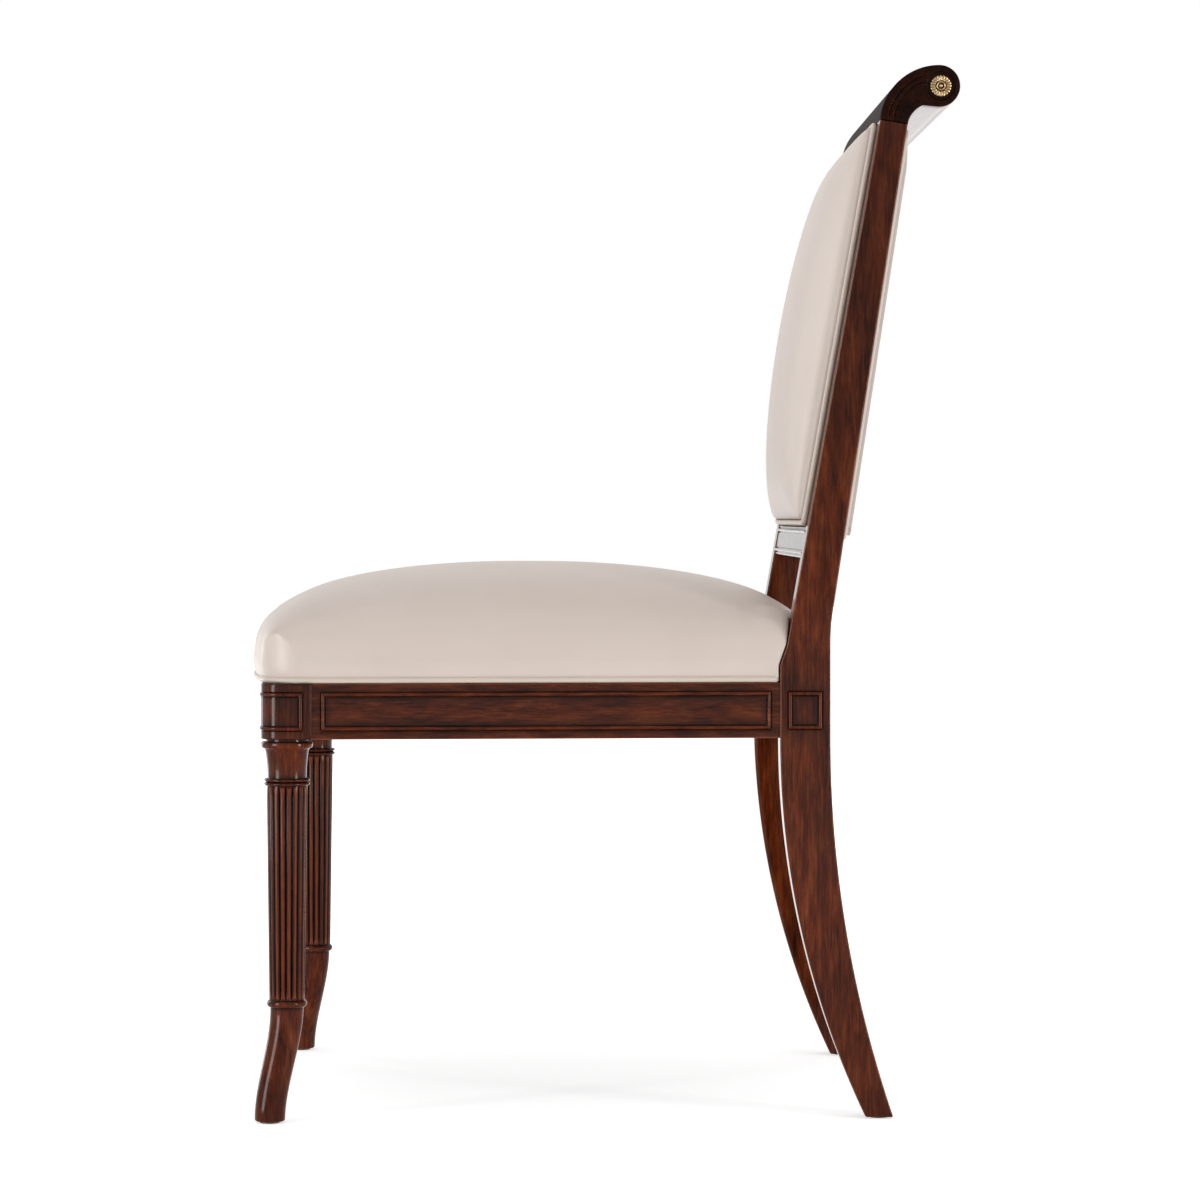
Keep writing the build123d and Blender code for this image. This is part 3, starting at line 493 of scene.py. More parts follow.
def lifted(plan, z):
    """Points of a plan at their heights."""
    heights = np.broadcast_to(z, plan.shape[:-1])
    return np.concatenate([plan, heights[..., None]], -1)


def at_side(x, section):
    """Points of a section in Y and Z at their X."""
    sideways = np.broadcast_to(x, section.shape[:-1])
    return np.concatenate([sideways[..., None], section], -1)


def straight_path(x, y):
    """A path in plan across the chair, at one Y."""
    return np.stack([x, np.full_like(x, y)], -1)


def lines_between(start, end, step, centres, offsets):
    """Grid lines from start to end: even ones, and close ones at the offsets from each centre."""
    close = [centre + np.asarray(offsets) for centre in centres]
    values = np.unique(np.concatenate([spread(start, end, step), *close]))
    values = values[(values > start) & (values < end)]
    values = np.concatenate([[start], values, [end]])
    apart = np.diff(values) > CLOSEST_LINES
    return np.concatenate([values[:-1][apart], [end]])


def bead_offsets(s):
    """Offsets from a bead's middle at which its round, its quirks and the painted shadow need a grid line."""
    half = s.bead_width / 2
    round_part = half * np.sin(np.linspace(0.0, pi / 2, BEAD_LINES))
    quirk_part = half + s.quirk_width * np.linspace(0.0, 1.0, BEAD_LINES)
    fade_part = half + s.quirk_width + s.shadow_reach * np.linspace(*SHADOW_LINES)
    side = np.concatenate([round_part, quirk_part, fade_part])
    return np.unique(np.concatenate([-side, side]))


def bead_relief(s, m):
    """Height and shade beside a bead, where m is the distance outwards from its middle line.

    The bead is a half ellipse of its width and height. A quirk on each side is a parabola of its depth, and
    the field inside, where m is well below nought, lies sunk. The shade is painted shade, dark in the quirks
    and at the bead's foot, and fades away from them as a painted shadow. Below nought on the bead's top it is
    a faint painted highlight.
    """
    half = s.bead_width / 2
    beside = (np.abs(m) - half) / s.quirk_width
    quirk = hump(2.0 * beside - 1.0)
    sunk = -s.panel_sink * smooth_step(-m / s.quirk_width - half / s.quirk_width)
    height = np.where(beside < 0.0, s.bead_proud * half_round(m / half), -s.quirk_depth * quirk) + sunk
    # Painted shadow spreading from the quirks, painted shade at the bead's foot, a faint painted highlight on
    # its top
    away = np.maximum(np.abs(m) - half - s.quirk_width, 0.0) / s.shadow_reach
    inner_shadow = INNER_SHADOW * np.exp(-INNER_FADE * away)
    outer_shadow = OUTER_SHADOW * np.exp(-OUTER_FADE * away)
    bead_shadow = np.where(m < 0.0, inner_shadow, outer_shadow)
    rubbed = BEAD_FOOT_PAINTED_SHADE * smooth_step(1.0 + BEAD_FOOT_SLOPE * beside) - BEAD_TOP_HIGHLIGHT
    shade = np.where(beside < 0.0, rubbed, np.maximum(QUIRK_PAINTED_SHADE * quirk, bead_shadow))
    return height, shade


def frame_distance(run, level, centre, half_length, half_height):
    """Distance outwards from a rectangular bead line: the larger of its overshoots, along and up."""
    along = np.abs(run - centre[0]) - half_length
    up = np.abs(level - centre[1]) - half_height
    return np.maximum(along, up)


def panel_levels(s):
    """The middle height of the bead panels beside the seat, and half of their height."""
    middle = (RAIL_HIGH.z + RAIL_LOW.z) / 2
    return middle, (RAIL_HIGH.z - RAIL_LOW.z) / 2 - s.bead_margin


def at_edges(way):
    """Where a section's normals turn from one face to the next, at its rounded edges."""
    return (np.abs(way).max(1) < EDGE_TURN)[None]


def rounded_loop(corners, radii, steps):
    """A closed outline, counter-clockwise, of straight sides and rounded corners.

    At each corner an arc of its radius touches both sides: it starts the radius times the tangent of half the
    turn before the corner. Returns the run along the outline, its points, its outward normals, the run at the
    middle of each corner and the whole length.
    """
    corners = np.asarray(corners, float)
    radii = np.asarray(radii, float)
    ahead = unit(np.roll(corners, -1, 0) - corners)
    behind = np.roll(ahead, 1, 0)
    crossed = behind[:, 0] * ahead[:, 1] - behind[:, 1] * ahead[:, 0]
    turn = np.arctan2(crossed, (behind * ahead).sum(1))
    side = np.sign(turn)
    left = np.stack([-behind[:, 1], behind[:, 0]], 1)
    start = corners - behind * (radii * np.tan(np.abs(turn) / 2))[:, None]
    centre = start + left * (side * radii)[:, None]
    angle = turn[:, None] * np.linspace(0.0, 1.0, steps + 1)[None, :]
    normal = np.stack([
        -left[:, None, 0] * np.cos(angle) + left[:, None, 1] * np.sin(angle),
        -left[:, None, 1] * np.cos(angle) - left[:, None, 0] * np.sin(angle),
    ], -1)
    points = (centre[:, None] + normal * (side * radii)[:, None, None]).reshape(-1, 2)
    gaps = np.linalg.norm(np.roll(points, -1, 0) - points, axis=1)
    run = np.concatenate([[0.0], np.cumsum(gaps)])
    middles = run[:-1].reshape(-1, steps + 1)[:, steps // 2]
    normals = normal.reshape(-1, 2)
    return {"run": run[:-1], "points": points, "normals": normals, "middles": middles, "length": run[-1]}


def on_loop(loop, run):
    """Points and normals at given runs along a rounded loop, read between its own points."""
    known = np.concatenate([loop["run"], [loop["length"]]])
    points = np.concatenate([loop["points"], loop["points"][:1]])
    normals = np.concatenate([loop["normals"], loop["normals"][:1]])
    at = np.mod(run, loop["length"])
    place = np.stack([np.interp(at, known, points[:, axis]) for axis in (0, 1)], -1)
    way = np.stack([np.interp(at, known, normals[:, axis]) for axis in (0, 1)], -1)
    return place, unit(way)


def loop_lines(loop, last_gap, step, centres=(), offsets=(0.0,)):
    """Runs along a loop for a grid: its own points, even ones, and close ones beside each centre.

    The even ones stop a gap short of the loop's end, because the end is its start again.
    """
    run = lines_between(0.0, loop["length"] - last_gap, step, centres, offsets)
    return np.unique(np.concatenate([run, loop["run"]]))


def quads(rows, columns, closed):
    """Corner numbers of a grid's faces. A closed grid joins its last column to its first."""
    row = np.arange(rows - 1)[:, None] * columns
    column = np.arange(columns if closed else columns - 1)[None, :]
    beside = (column + 1) % columns
    corners = [row + column, row + beside, row + columns + beside, row + columns + column]
    return np.stack(np.broadcast_arrays(*corners), -1).reshape(-1, 4)


def grid(points, shade=0.0, closed=True, caps=False):
    """A grid of points with its shade. Caps close its first and last rows with one face each."""
    points = np.asarray(points, float)
    shade = np.broadcast_to(np.asarray(shade, float), points.shape[:2])
    return {"points": points, "shade": shade, "closed": closed, "caps": caps}


def flipped(grids):
    """The same grids on the other side of the chair."""
    return [dict(part, points=part["points"] * np.array([-1.0, 1.0, 1.0])) for part in grids]


def grids_mesh(name, grids, sharp=SHARP_EDGE):
    """One mesh of several grids, merged at seams and poles, with faces outward and softly shaded edges."""
    faces = []
    start = 0
    for part in grids:
        rows, columns = part["points"].shape[:2]
        faces += (quads(rows, columns, part["closed"]) + start).tolist()
        if part["caps"]:
            first = np.arange(columns) + start
            faces += [first[::-1].tolist(), (first + (rows - 1) * columns).tolist()]
        start += rows * columns
    mesh = bpy.data.meshes.new(name)
    mesh.from_pydata(np.concatenate([p["points"].reshape(-1, 3) for p in grids]).tolist(), [], faces)
    shade = mesh.attributes.new("shade", "FLOAT", "POINT")
    shade.data.foreach_set("value", np.concatenate([p["shade"].ravel() for p in grids]).astype(np.float32))
    work = bmesh.new()
    work.from_mesh(mesh)
    bmesh.ops.remove_doubles(work, verts=work.verts, dist=WELD_DISTANCE)
    bmesh.ops.recalc_face_normals(work, faces=work.faces)
    work.to_mesh(mesh)
    work.free()
    mesh.polygons.foreach_set("use_smooth", np.ones(len(mesh.polygons), bool))
    mesh.set_sharp_from_angle(angle=sharp)
    return mesh


def add_piece(name, grids, material, nodes, sharp=SHARP_EDGE):
    """A finished piece of some grids: in the scene with its finish, riding on the chair for its nodes."""
    mesh = grids_mesh(name, grids, sharp)
    mesh.materials.append(material)
    piece = bpy.data.objects.new(name, mesh)
    bpy.context.scene.collection.objects.link(piece)
    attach(piece, BODY)
    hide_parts(*nodes)
    return piece


def add_pair(name, grids, material, nodes, sharp=SHARP_EDGE):
    """A left piece and its mirror image, each named for its side and standing for that side's nodes."""
    for side, sign in SIDES.items():
        sided = [node + "_" + side for node in nodes]
        add_piece(name + "_" + side, grids if sign > 0 else flipped(grids), material, sided, sharp)


# Finishes
def new_material(name):
    """An empty node material with a Principled shader on its output."""
    material = bpy.data.materials.new(name)
    material.use_nodes = True
    tree = material.node_tree
    shader = tree.nodes["Principled BSDF"]
    return material, tree, shader


def give(tree, socket, value):
    """Link a socket from another one, or set its constant. A colour is opaque."""
    if isinstance(value, bpy.types.NodeSocket):
        tree.links.new(value, socket)
    elif socket.type == "RGBA":
        socket.default_value = (*value, 1.0)
    else:
        socket.default_value = value


def feed(tree, node, values):
    """Give a node's inputs their values by name."""
    for name, value in values.items():
        give(tree, node.inputs[name], value)


def add_node(tree, kind, *first, **named):
    """A node of a kind, with properties and inputs by their names and its first inputs in order."""
    made = tree.nodes.new(kind)
    for key, value in named.items():
        if key in made.inputs:
            give(tree, made.inputs[key], value)
        else:
            setattr(made, key, value)
    for socket, value in zip(made.inputs, first):
        give(tree, socket, value)
    return made


def scaled_place(tree, scale):
    """Object coordinates stretched by a scale, one or three, in patterns per metre."""
    place = add_node(tree, "ShaderNodeTexCoord").outputs["Object"]
    scales = scale if isinstance(scale, tuple) else (scale,) * 3
    return add_node(tree, "ShaderNodeMapping", Vector=place, Scale=scales).outputs["Vector"]


def noise(tree, scale, detail, roughness, distortion=0.0):
    """Noise in object space, stretched by a scale."""
    made = add_node(
        tree, "ShaderNodeTexNoise", Vector=scaled_place(tree, scale), Scale=1.0,
        Detail=detail, Roughness=roughness, Distortion=distortion,
    )
    return made.outputs["Fac"]


def ramp(tree, value, stops):
    """A colour ramp over a value, with stops of position and colour."""
    made = add_node(tree, "ShaderNodeValToRGB", value)
    elements = made.color_ramp.elements
    while len(elements) < len(stops):
        elements.new(0.5)
    for element, (position, tint) in zip(elements, stops):
        element.position = position
        element.color = (*tint, 1.0)
    return made.outputs["Color"]


def toned(tint, share):
    """A colour made darker to a share of itself."""
    return tuple(share * part for part in tint)


def two_tone(tree, value, tint, share, ends):
    """A tint that rises from a darker share of itself between two ends of a value."""
    return ramp(tree, value, ((ends[0], toned(tint, share)), (ends[1], tint)))


def mix_colour(tree, factor, first, second):
    """Two colours mixed by a factor, each a socket or a fixed colour."""
    made = add_node(tree, "ShaderNodeMix", factor, data_type="RGBA")
    give(tree, made.inputs[6], first)
    give(tree, made.inputs[7], second)
    return made.outputs[2]


def remap(tree, value, known, wanted):
    """A value carried from a known range to a wanted one, and kept within it."""
    return add_node(tree, "ShaderNodeMapRange", value, *known, *wanted).outputs["Result"]


def shade_of(tree):
    """The piece's shade attribute: up to one where it darkens, which is painted shade in hollows and seams
    and tarnish on brass, and below nought a painted highlight.
    """
    return add_node(tree, "ShaderNodeAttribute", attribute_name="shade").outputs["Fac"]


def bump(tree, height, distance, strength):
    """A normal for a relief in metres, from a height value."""
    made = add_node(tree, "ShaderNodeBump", Strength=strength, Distance=distance, Height=height)
    return made.outputs["Normal"]


def grained_noise(tree, axis, across, along, **kind):
    """Noise that runs along one axis, with its patterns per metre across and along the grain."""
    return noise(tree, tuple(along if part == axis else across for part in range(3)), **kind)


def polished_wood(name, colours, axis, tone, satin, gloss):
    """Polished dark red-brown wood with its grain along an axis.

    Broad figure, fine streaks, dark clouds and short pores are noises stretched along the grain. Where the
    piece's shade is above nought, the colour darkens towards the painted shade colour, and where it is below,
    it lightens towards the light streaks as a painted highlight. A clear polish lies on top, and satin is the
    roughness added to it.
    """
    material, tree, shader = new_material(name)
    deep = toned(colours.wood_deep, tone)
    body = toned(colours.wood_body, tone)
    light = toned(colours.wood_light, tone)
    figure = grained_noise(tree, axis, across=75.0, along=18.0, detail=4.0, roughness=0.60, distortion=0.35)
    streaks = grained_noise(tree, axis, across=460.0, along=34.0, detail=4.0, roughness=0.62, distortion=0.15)
    pores = grained_noise(tree, axis, across=1900.0, along=260.0, detail=2.0, roughness=0.5)
    clouds = grained_noise(tree, axis, across=36.0, along=13.0, detail=3.0, roughness=0.6, distortion=0.3)
    broad = ramp(tree, figure, ((0.30, deep), (0.52, body), (0.76, light)))
    fine = ramp(tree, streaks, ((0.34, deep), (0.52, body), (0.68, light)))
    tint = mix_colour(tree, 0.42, broad, fine)
    clouded = mix_colour(tree, remap(tree, clouds, (0.44, 0.68), (0.0, 0.42)), tint, deep)
    pored = mix_colour(tree, remap(tree, pores, (0.56, 0.70), (0.0, 0.34)), clouded, deep)
    # Below nought the shade lightens the colour as a painted highlight; above nought it darkens it, mostly as
    # painted shade
    rubbed = mix_colour(tree, remap(tree, shade_of(tree), (-1.0, 0.0), (0.9, 0.0)), pored, light)
    painted_shade = remap(tree, shade_of(tree), (0.0, 1.0), (0.0, 0.94))
    feed(tree, shader, {
        "Base Color": mix_colour(tree, painted_shade, rubbed, colours.painted_shade),
        "Roughness": remap(tree, streaks, (0.3, 0.7), (0.15 + satin, 0.10 + satin)),
        "Specular IOR Level": gloss,
        "Coat Weight": 0.11,
        "Coat Roughness": 0.06 + satin,
        "Normal": bump(tree, streaks, distance=0.00008, strength=0.06),
    })
    return material


def leather(name, colours, tint):
    """Smooth cream leather: soft patches of tone, a fine pebbled grain and a satin gloss."""
    material, tree, shader = new_material(name)
    shadow = colours.leather_shadow
    patches = noise(tree, 14.0, detail=3.0, roughness=0.5)
    creases = noise(tree, 240.0, detail=4.0, roughness=0.6)
    pebbles = add_node(
        tree, "ShaderNodeTexVoronoi", Vector=scaled_place(tree, 950.0), Scale=1.0,
        feature="SMOOTH_F1", Smoothness=0.6,
    )
    soft = mix_colour(tree, remap(tree, patches, (0.35, 0.70), (0.0, 0.55)), tint, shadow)
    grained = mix_colour(tree, remap(tree, creases, (0.45, 0.75), (0.0, 0.10)), soft, shadow)
    # Painted shade along the seams and in the pleats
    seams = remap(tree, shade_of(tree), (0.0, 1.0), (0.0, 0.72))
    feed(tree, shader, {
        "Base Color": mix_colour(tree, seams, grained, colours.seam),
        "Roughness": remap(tree, creases, (0.3, 0.7), (0.43, 0.36)),
        "Specular IOR Level": 0.23,
        "Normal": bump(tree, pebbles.outputs["Distance"], distance=0.00012, strength=0.14),
    })
    return material


def aged_brass(name, colours):
    """Brass polished on its high places and tarnished in its hollows."""
    material, tree, shader = new_material(name)
    spots = noise(tree, 420.0, detail=4.0, roughness=0.6)
    dulled = remap(tree, spots, (0.38, 0.62), (0.0, 0.75))
    wear_and_highlight = mix_colour(tree, dulled, colours.brass, colours.brass_dull)
    feed(tree, shader, {
        "Base Color": mix_colour(tree, shade_of(tree), wear_and_highlight, colours.brass_dark),
        "Roughness": remap(tree, spots, (0.3, 0.7), (0.24, 0.42)),
        "Metallic": 1.0,
        "Normal": bump(tree, spots, distance=0.0002, strength=0.15),
    })
    return material


def plain_wood(name, tint):
    """Pale unfinished wood with its grain along X."""
    material, tree, shader = new_material(name)
    grain = grained_noise(tree, 0, across=210.0, along=6.0, detail=4.0, roughness=0.6, distortion=0.3)
    feed(tree, shader, {
        "Base Color": two_tone(tree, grain, tint, share=0.62, ends=(0.35, 0.65)),
        "Roughness": remap(tree, grain, (0.3, 0.7), (0.62, 0.5)),
        "Normal": bump(tree, grain, distance=0.0004, strength=0.3),
    })
    return material


def woven(name, tint, fineness, roughness):
    """A plain weave from two crossed waves, whose fineness is their phase in radians to the metre."""
    material, tree, shader = new_material(name)
    waves = [
        add_node(
            tree, "ShaderNodeTexWave", Vector=scaled_place(tree, 1.0), Scale=fineness / WAVE_PHASE,
            Distortion=0.6, bands_direction=axis,
        ).outputs["Fac"]
        for axis in "XY"
    ]
    weave = add_node(tree, "ShaderNodeMath", *waves, operation="MULTIPLY").outputs[0]
    feed(tree, shader, {
        "Base Color": two_tone(tree, weave, tint, share=0.5, ends=(0.1, 0.6)),
        "Roughness": roughness,
        "Normal": bump(tree, weave, distance=0.0006, strength=0.4),
    })
    return material


def speckled(name, tint, roughness, metallic):
    """A plain metal or plastic with slight mottling."""
    material, tree, shader = new_material(name)
    mottle = noise(tree, 300.0, detail=3.0, roughness=0.55)
    feed(tree, shader, {
        "Base Color": two_tone(tree, mottle, tint, share=0.72, ends=(0.35, 0.65)),
        "Roughness": remap(tree, mottle, (0.3, 0.7), (roughness - 0.06, roughness + 0.08)),
        "Metallic": metallic,
        "Normal": bump(tree, mottle, distance=0.0002, strength=0.1),
    })
    return material


def finish_named(name, make, *arguments):
    """A finish by its name, made the first time that it is asked for."""
    return bpy.data.materials.get(name) or make(name, *arguments)


def wood_for(axis, dark=False):
    """The polished wood whose grain runs along an axis, or its darker copy without specular, which is partly
    painted shade.
    """
    name = "polished_wood_" + "xyz"[axis] + ("_dark" if dark else "")
    polish = DARK_SHADED_COPY if dark else CLEAR_POLISH
    return finish_named(name, polished_wood, bpy.context.scene.chair_finishes, axis, *polish)


def seat_leather():
    """The cream leather of the cushions."""
    colours = bpy.context.scene.chair_finishes
    return finish_named("supple_leather", leather, colours, colours.leather)


def welt_leather():
    """The cream leather of the welts."""
    colours = bpy.context.scene.chair_finishes
    return finish_named("welt_leather", leather, colours, colours.welt)


# Front legs
def leg_block(legs, sizes):
    """The square block of a left leg: a plan loop with one large rounded corner, carried up its height.

    Each level draws in near the top and bottom by a quarter round, and a bead frame stands out from the front
    and outer sides, bent round the corner between them.
    """
    inner, rear = LEG_LOW.x, LEG_HIGH.y
    outer, front = inner + legs.block_size, rear - legs.block_size
    corners = [(inner, front), (outer, front), (outer, rear), (inner, rear)]
    edge = legs.edge_radius
    loop = rounded_loop(corners, [edge, legs.block_corner_radius, edge, edge], CORNER_STEPS)
    first, _, last, _ = loop["middles"]
    half_run = (last - first) / 2 - sizes.bead_margin
    middle_run = (first + last) / 2
    middle_z, half_height = panel_levels(sizes)
    offsets = bead_offsets(sizes)
    run = loop_lines(loop, edge / 4, BLOCK_RUN_STEP, both_sides(middle_run, half_run), offsets)
    low, high = RAIL_LOW.z, RAIL_HIGH.z
    ends = edge_depths(edge)
    z = lines_between(low, high, BLOCK_LEVEL_STEP, both_sides(middle_z, half_height), offsets)
    z = np.unique(np.concatenate([z, low + ends, high - ends]))
    from_end = np.minimum(z - low, high - z)
    place, way = on_loop(loop, run)
    m = frame_distance(run[None, :], z[:, None], (middle_run, middle_z), half_run, half_height)
    height, shade = bead_relief(sizes, m)
    shown = (run > first) & (run < last)
    out = np.where(shown, height, 0.0) - drawn_in(edge, from_end)[:, None]
    plan = place[None] + way[None] * out[..., None]
    # The bead's painted shade and highlight, and darker top and bottom edges
    painted_shade = np.where(shown, shade, 0.0) + BLOCK_EDGE_DARKENING * (from_end < edge)[:, None]
    return grid(lifted(plan, z[:, None]), np.clip(painted_shade, 0.0, 1.0), caps=True)


def leg_profile(legs):
    """The turned profile from the block to the floor: radii, heights, and where it is reeded.

    The collar and the rings are half ellipses, the hollow below the collar is a quarter ellipse, the neck is
    a parabola, and the rest are straight tapers.
    """
    spans = []

    def add(radii, levels, reeded=False):
        spans.append((radii, levels, np.full(len(levels), reeded)))

    turn = np.linspace(0.0, pi, ROUND_ROWS)
    fall = (1.0 - np.cos(turn)) / 2
    top = RAIL_LOW.z
    neck_top = legs.neck_top_radius
    collar_top = top - legs.collar_gap
    collar_low = collar_top - legs.collar_height
    cove_low = collar_low - legs.cove_height
    ring_top = legs.ring_level + 2 * legs.ring_height
    reed_low = legs.foot_height + legs.foot_ring_height
    add([neck_top, neck_top], [top + legs.edge_radius, collar_top])
    lip = legs.collar_radius - neck_top
    collar = neck_top + lip * (LIP_SHARE + (1.0 - LIP_SHARE) * np.sin(turn))
    add(collar, collar_top - legs.collar_height * fall)
    quarter = np.linspace(0.0, pi / 2, HOLLOW_ROWS)[1:]
    cove = collar_low - legs.cove_height * (1.0 - np.cos(quarter))
    add(neck_top + LIP_SHARE * lip * (1.0 - np.sin(quarter)), cove)
    sink = np.linspace(0.0, 1.0, HOLLOW_ROWS)[1:]
    neck = neck_top + (legs.neck_radius - neck_top) * (1.0 - (1.0 - sink) ** 2)
    add(neck, cove_low + (ring_top - cove_low) * sink)
    for ring in range(2):
        swell = legs.neck_radius + (legs.ring_radius - legs.neck_radius) * np.sin(turn)
        add(swell, ring_top - legs.ring_height * (ring + fall))
    ends = legs.reed_end * np.array(REED_END_SHARES)
    between = np.linspace(legs.ring_level, reed_low, REED_ROWS)[2:-2]
    reeds = np.concatenate([legs.ring_level - ends, between, reed_low + ends[::-1]])
    share = (reeds - reed_low) / (legs.ring_level - reed_low)
    add(legs.reed_bottom_radius + (legs.reed_top_radius - legs.reed_bottom_radius) * share, reeds, True)
    swell = legs.foot_top_radius + (legs.foot_ring_radius - legs.foot_top_radius) * np.sin(turn)
    add(swell, reed_low - legs.foot_ring_height * fall)
    floor = LEG_LOW.z
    down = np.linspace(0.0, 1.0, FOOT_ROWS)[1:-1]
    foot = legs.foot_top_radius + (legs.foot_radius - legs.foot_top_radius) * down
    add(foot, legs.foot_height + (floor + legs.foot_edge_radius - legs.foot_height) * down)
    edge = np.linspace(0.0, pi / 2, FOOT_EDGE_ROWS)
    rounded = legs.foot_radius - legs.foot_edge_radius * (1.0 - np.cos(edge))
    add(rounded, floor + legs.foot_edge_radius * (1.0 - np.sin(edge)))
    return [np.concatenate(part) for part in zip(*spans)]


def leg_turning(legs):
    """The turning of a left leg: rings of the profile round the leg's axis.

    Between the rings the radius falls off towards the hollows as one less a half ellipse across each reed,
    and the hollows close to points at the reeds' ends. The foot's rings slide forward and outward by the
    square of the way down times three less twice the way down. Painted shade darkens the hollows and the
    sunk lines at the rings, and each reed's top gets a painted highlight of its own strength.
    """
    radius, z, reeded = leg_profile(legs)
    angle = around(legs.reed_count * REED_COLUMNS)
    turns = angle * legs.reed_count / (2 * pi)
    across = np.abs(np.mod(turns, 1.0) - 0.5) * 2.0
    reed_low = legs.foot_height + legs.foot_ring_height
    from_end = np.minimum(legs.ring_level - z, z - reed_low) / legs.reed_end
    opening = np.where(reeded, np.sqrt(np.clip(from_end, 0.0, 1.0)), 0.0)[:, None]
    hollow = np.clip(1.0 - (1.0 - across[None, :]) / np.maximum(opening, LEAST_OPENING), 0.0, 1.0)
    sunk = 1.0 - np.sqrt(1.0 - (HOLLOW_SHARE * hollow) ** 2)
    r = radius[:, None] - legs.reed_depth * sunk * (opening > 0.0)
    slide = smooth_step((legs.foot_height - z) / (legs.foot_height - LEG_LOW.z))
    axis_x = LEG_LOW.x + legs.block_size / 2 + legs.kick_outward * slide
    axis_y = LEG_HIGH.y - legs.block_size / 2 - legs.kick_forward * slide
    plan = np.stack([axis_x[:, None] + r * np.cos(angle), axis_y[:, None] + r * np.sin(angle)], -1)
    rings = legs.ring_level + legs.ring_height * np.arange(3)
    sunk_levels = np.array([RAIL_LOW.z - legs.collar_gap, *rings, reed_low, legs.foot_height])
    # Painted shade in the sunk lines at the rings and in the reeds' hollows, and a painted highlight on each
    # reed's top
    near_level = np.exp(-((z[:, None] - sunk_levels) / CREVICE_WIDTH) ** 2).max(1)
    crevice = CREVICE_PAINTED_SHADE * near_level[:, None]
    groove = np.where(reeded[:, None], smooth_step((hollow - GROOVE_START) / GROOVE_FADE), 0.0)
    wear_and_highlight = REED_HIGHLIGHT + REED_HIGHLIGHT_SPREAD * np.sin(REED_HIGHLIGHT_PITCH * np.floor(turns))
    rubbed = np.where(reeded[:, None], wear_and_highlight * smooth_step(1.0 - hollow / REED_HIGHLIGHT_WIDTH), 0.0)
    shade = np.where(crevice > LEAST_CREVICE, np.maximum(groove, crevice), groove - rubbed)
    return grid(lifted(plan, z[:, None]), shade, caps=True)


class CHAIR_OT_front_legs(bpy.types.Operator):
    """Make both front legs, with block, turning, reeds and kicked foot"""

    bl_idname = "chair.front_legs"
    bl_label = "Front legs"

    def execute(self, context):
        legs = context.scene.chair_legs
        grids = [leg_block(legs, context.scene.chair_frame), leg_turning(legs)]
        add_pair("turned_leg", grids, wood_for(2), ("front_leg", "leg_block_bead"))
        return {"FINISHED"}


# Rear posts
def raked_place(s, y, z):
    """Chair Y and Z of a point of the upright back drawing, leaned back by the rake about its origin."""
    return (
        s.back_y + y * cos(s.rake) + z * sin(s.rake),
        s.back_z - y * sin(s.rake) + z * cos(s.rake),
    )


def straight_y(start, end, z):
    """The Y at which a straight line between two points crosses each level."""
    return start[0] + (end[0] - start[0]) * (z - start[1]) / (end[1] - start[1])


def sabre_y(top_y, foot_y, z):
    """The Y of a sabre edge below the rail: an arc, upright at the rail, that ends at the foot."""
    run = foot_y - top_y
    drop = RAIL_LOW.z - POST_LOW.z
    radius = (run * run + drop * drop) / (2 * run)
    below = np.clip(RAIL_LOW.z - z, 0.0, None)
    return top_y + radius - np.sqrt(radius ** 2 - below ** 2)


def post_front_y(s, z):
    """A post's front edge: sabre arc, upright at the rail, a straight step back, then the rake."""
    top_y = POST_LOW.y
    low = raked_place(s, -s.depth_low / 2, 0.0)
    top = raked_place(s, -s.depth_top / 2, s.back_height)
    raked = straight_y(low, top, z)
    step = straight_y((top_y, s.ledge_bottom), (float(straight_y(low, top, s.ledge_top)), s.ledge_top), z)
    upper = np.where(z > s.ledge_top, raked, np.maximum(step, top_y))
    return np.where(z < RAIL_LOW.z, sabre_y(top_y, s.foot_front, z), upper)


def post_rear_y(s, z):
    """A post's rear edge: sabre arc, upright, an arc of the bend radius, then the rake."""
    rear = POST_LOW.y + s.seat_depth
    low = raked_place(s, s.depth_low / 2, 0.0)
    top = raked_place(s, s.depth_top / 2, s.back_height)
    slope = (top[0] - low[0]) / (top[1] - low[1])
    bend = low[1] - (low[0] - rear) / slope
    start = bend - s.bend_radius * tan(atan2(slope, 1.0) / 2)
    lift = np.clip(z - start, 0.0, s.bend_radius * sin(atan2(slope, 1.0)))
    curved = rear + s.bend_radius - np.sqrt(s.bend_radius ** 2 - lift ** 2)
    upper = np.where(z - start > lift, straight_y(low, top, z), curved)
    return np.where(z < RAIL_LOW.z, sabre_y(rear, s.foot_front + s.foot_depth, z), upper)


